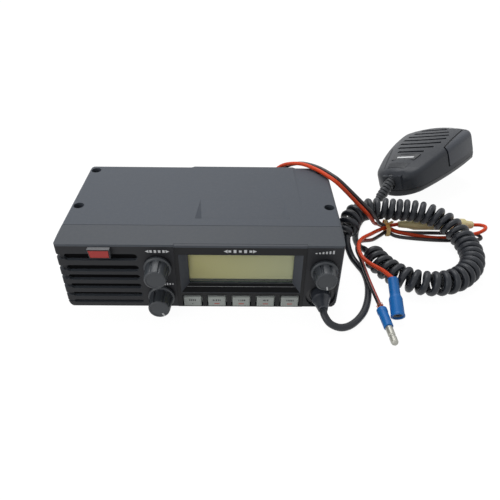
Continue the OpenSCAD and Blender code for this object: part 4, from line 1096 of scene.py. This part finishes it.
spun("socket_barrel", PIN, "socket_terminal", barrel, SOCKET_A * mm, socket_way, steps=32)

# %% [markdown]
# Where the black wire enters its sleeve, a few copper strands were left outside the crimp. Each
# is a thin six-sided rod that leans out from the sleeve's end, with its own angle and reach.
# %% Copper strands
PIN_A, PIN_B = Vector((116.5, -56.4, 4.2)), Vector((117.7, -72.3, 3.8))
STRAND_R = 0.2
STRAND_ROOT = 1.3
STRAND_SUNK = 0.6
STRANDS = [
    (0, 2.3, 4.6), (30, 2.0, 3.6), (60, 2.5, 4.2), (95, 2.1, 3.2), (130, 2.4, 4.8), (165, 2.0, 3.8),
    (200, 2.5, 4.4), (235, 2.1, 3.4), (270, 2.4, 4.6), (305, 2.0, 3.6), (335, 2.3, 4.0)]
pin_way = (PIN_B - PIN_A).normalized()
across = pin_way.orthogonal().normalized()
bm = bmesh.new()
for angle, spread, reach in STRANDS:
    out = Matrix.Rotation(math.radians(angle), 3, pin_way) @ across
    tip = PIN_A + out * spread - pin_way * reach
    root = PIN_A + out * STRAND_ROOT + pin_way * STRAND_SUNK
    turn = (tip - root).to_track_quat("Z", "Y").to_matrix().to_4x4()
    place = Matrix.Translation((root + tip) / 2 * mm) @ turn
    bmesh.ops.create_cone(bm, cap_ends=True, segments=6, radius1=STRAND_R * mm, radius2=STRAND_R * mm,
                          depth=(tip - root).length * mm, matrix=place)
strands = show(bm, "copper_strands", COPPER, "radio")
print("strands:", len(STRANDS))

# %% [markdown]
# The rest keeps its CAD shape: shafts and controls, the loudspeaker, the boards and what stands
# on them, and the screws. Each gets the finish of what it is made of.
# %% Pieces that keep their CAD shape
PLAIN = {
    STEEL: ("channel_shaft", "squelch_shaft", "volume_shaft"),
    CONTROL: ("channel_encoder", "squelch_pot", "volume_pot"),
    SPEAKER: ("speaker_frame",),
    PAPER: ("speaker_cone",),
    BOARD: ("main_board", "front_board", "mic_board"),
    SHIELD: ("shield_can",),
    EPOXY: ("power_transistor", "ptt_switch"),
    CAPACITOR: ("capacitors",),
    SCREW: ("case_screws", "mic_screws"),
    CAPSULE: ("mic_capsule",),
    KEYPAD: ("keypad_membrane",),
    FUSE_GLASS: ("fuse",),
}
for material, names in PLAIN.items():
    for name in names:
        finish_node(name, material)
print("pieces that keep their CAD shape:", sum(len(names) for names in PLAIN.values()))

def piece(name):
    return bpy.data.objects[name]


# %% [markdown]
# The floor is white and plain. To the camera it glows a little, so that it stays white to the
# edge of the picture, and the object's soft shadow still falls on it.
# %% Floor
FLOOR_COLOUR = 0.5
FLOOR_HALF = 3
FLOOR_BELOW = 0.05
GLOW = 1.26
GLOW_SHARE = 0.76


def floor_material():
    material, tree, principled = new_material("floor")
    principled.inputs["Base Color"].default_value = (FLOOR_COLOUR, FLOOR_COLOUR, FLOOR_COLOUR, 1)
    principled.inputs["Roughness"].default_value = 0.9
    principled.inputs["Specular IOR Level"].default_value = 0.1
    glow = node(tree, "Emission", Color=(1, 1, 1, 1), Strength=GLOW)
    mix = node(tree, "MixShader", Fac=maths(tree, "MULTIPLY", seen_directly(tree), GLOW_SHARE))
    feed(tree, mix.inputs[1], principled.outputs[0])
    feed(tree, mix.inputs[2], glow.outputs[0])
    feed(tree, tree.nodes["Material Output"].inputs["Surface"], mix.outputs[0])
    return material


bm = bmesh.new()
bmesh.ops.create_grid(bm, x_segments=1, y_segments=1, size=FLOOR_HALF)
floor_mesh = bpy.data.meshes.new("floor")
bm.to_mesh(floor_mesh)
bm.free()
floor_mesh.materials.append(floor_material())
floor = add("floor", floor_mesh)
floor.location = (0, 0, -FLOOR_BELOW * mm)
print("floor half width, m:", FLOOR_HALF)
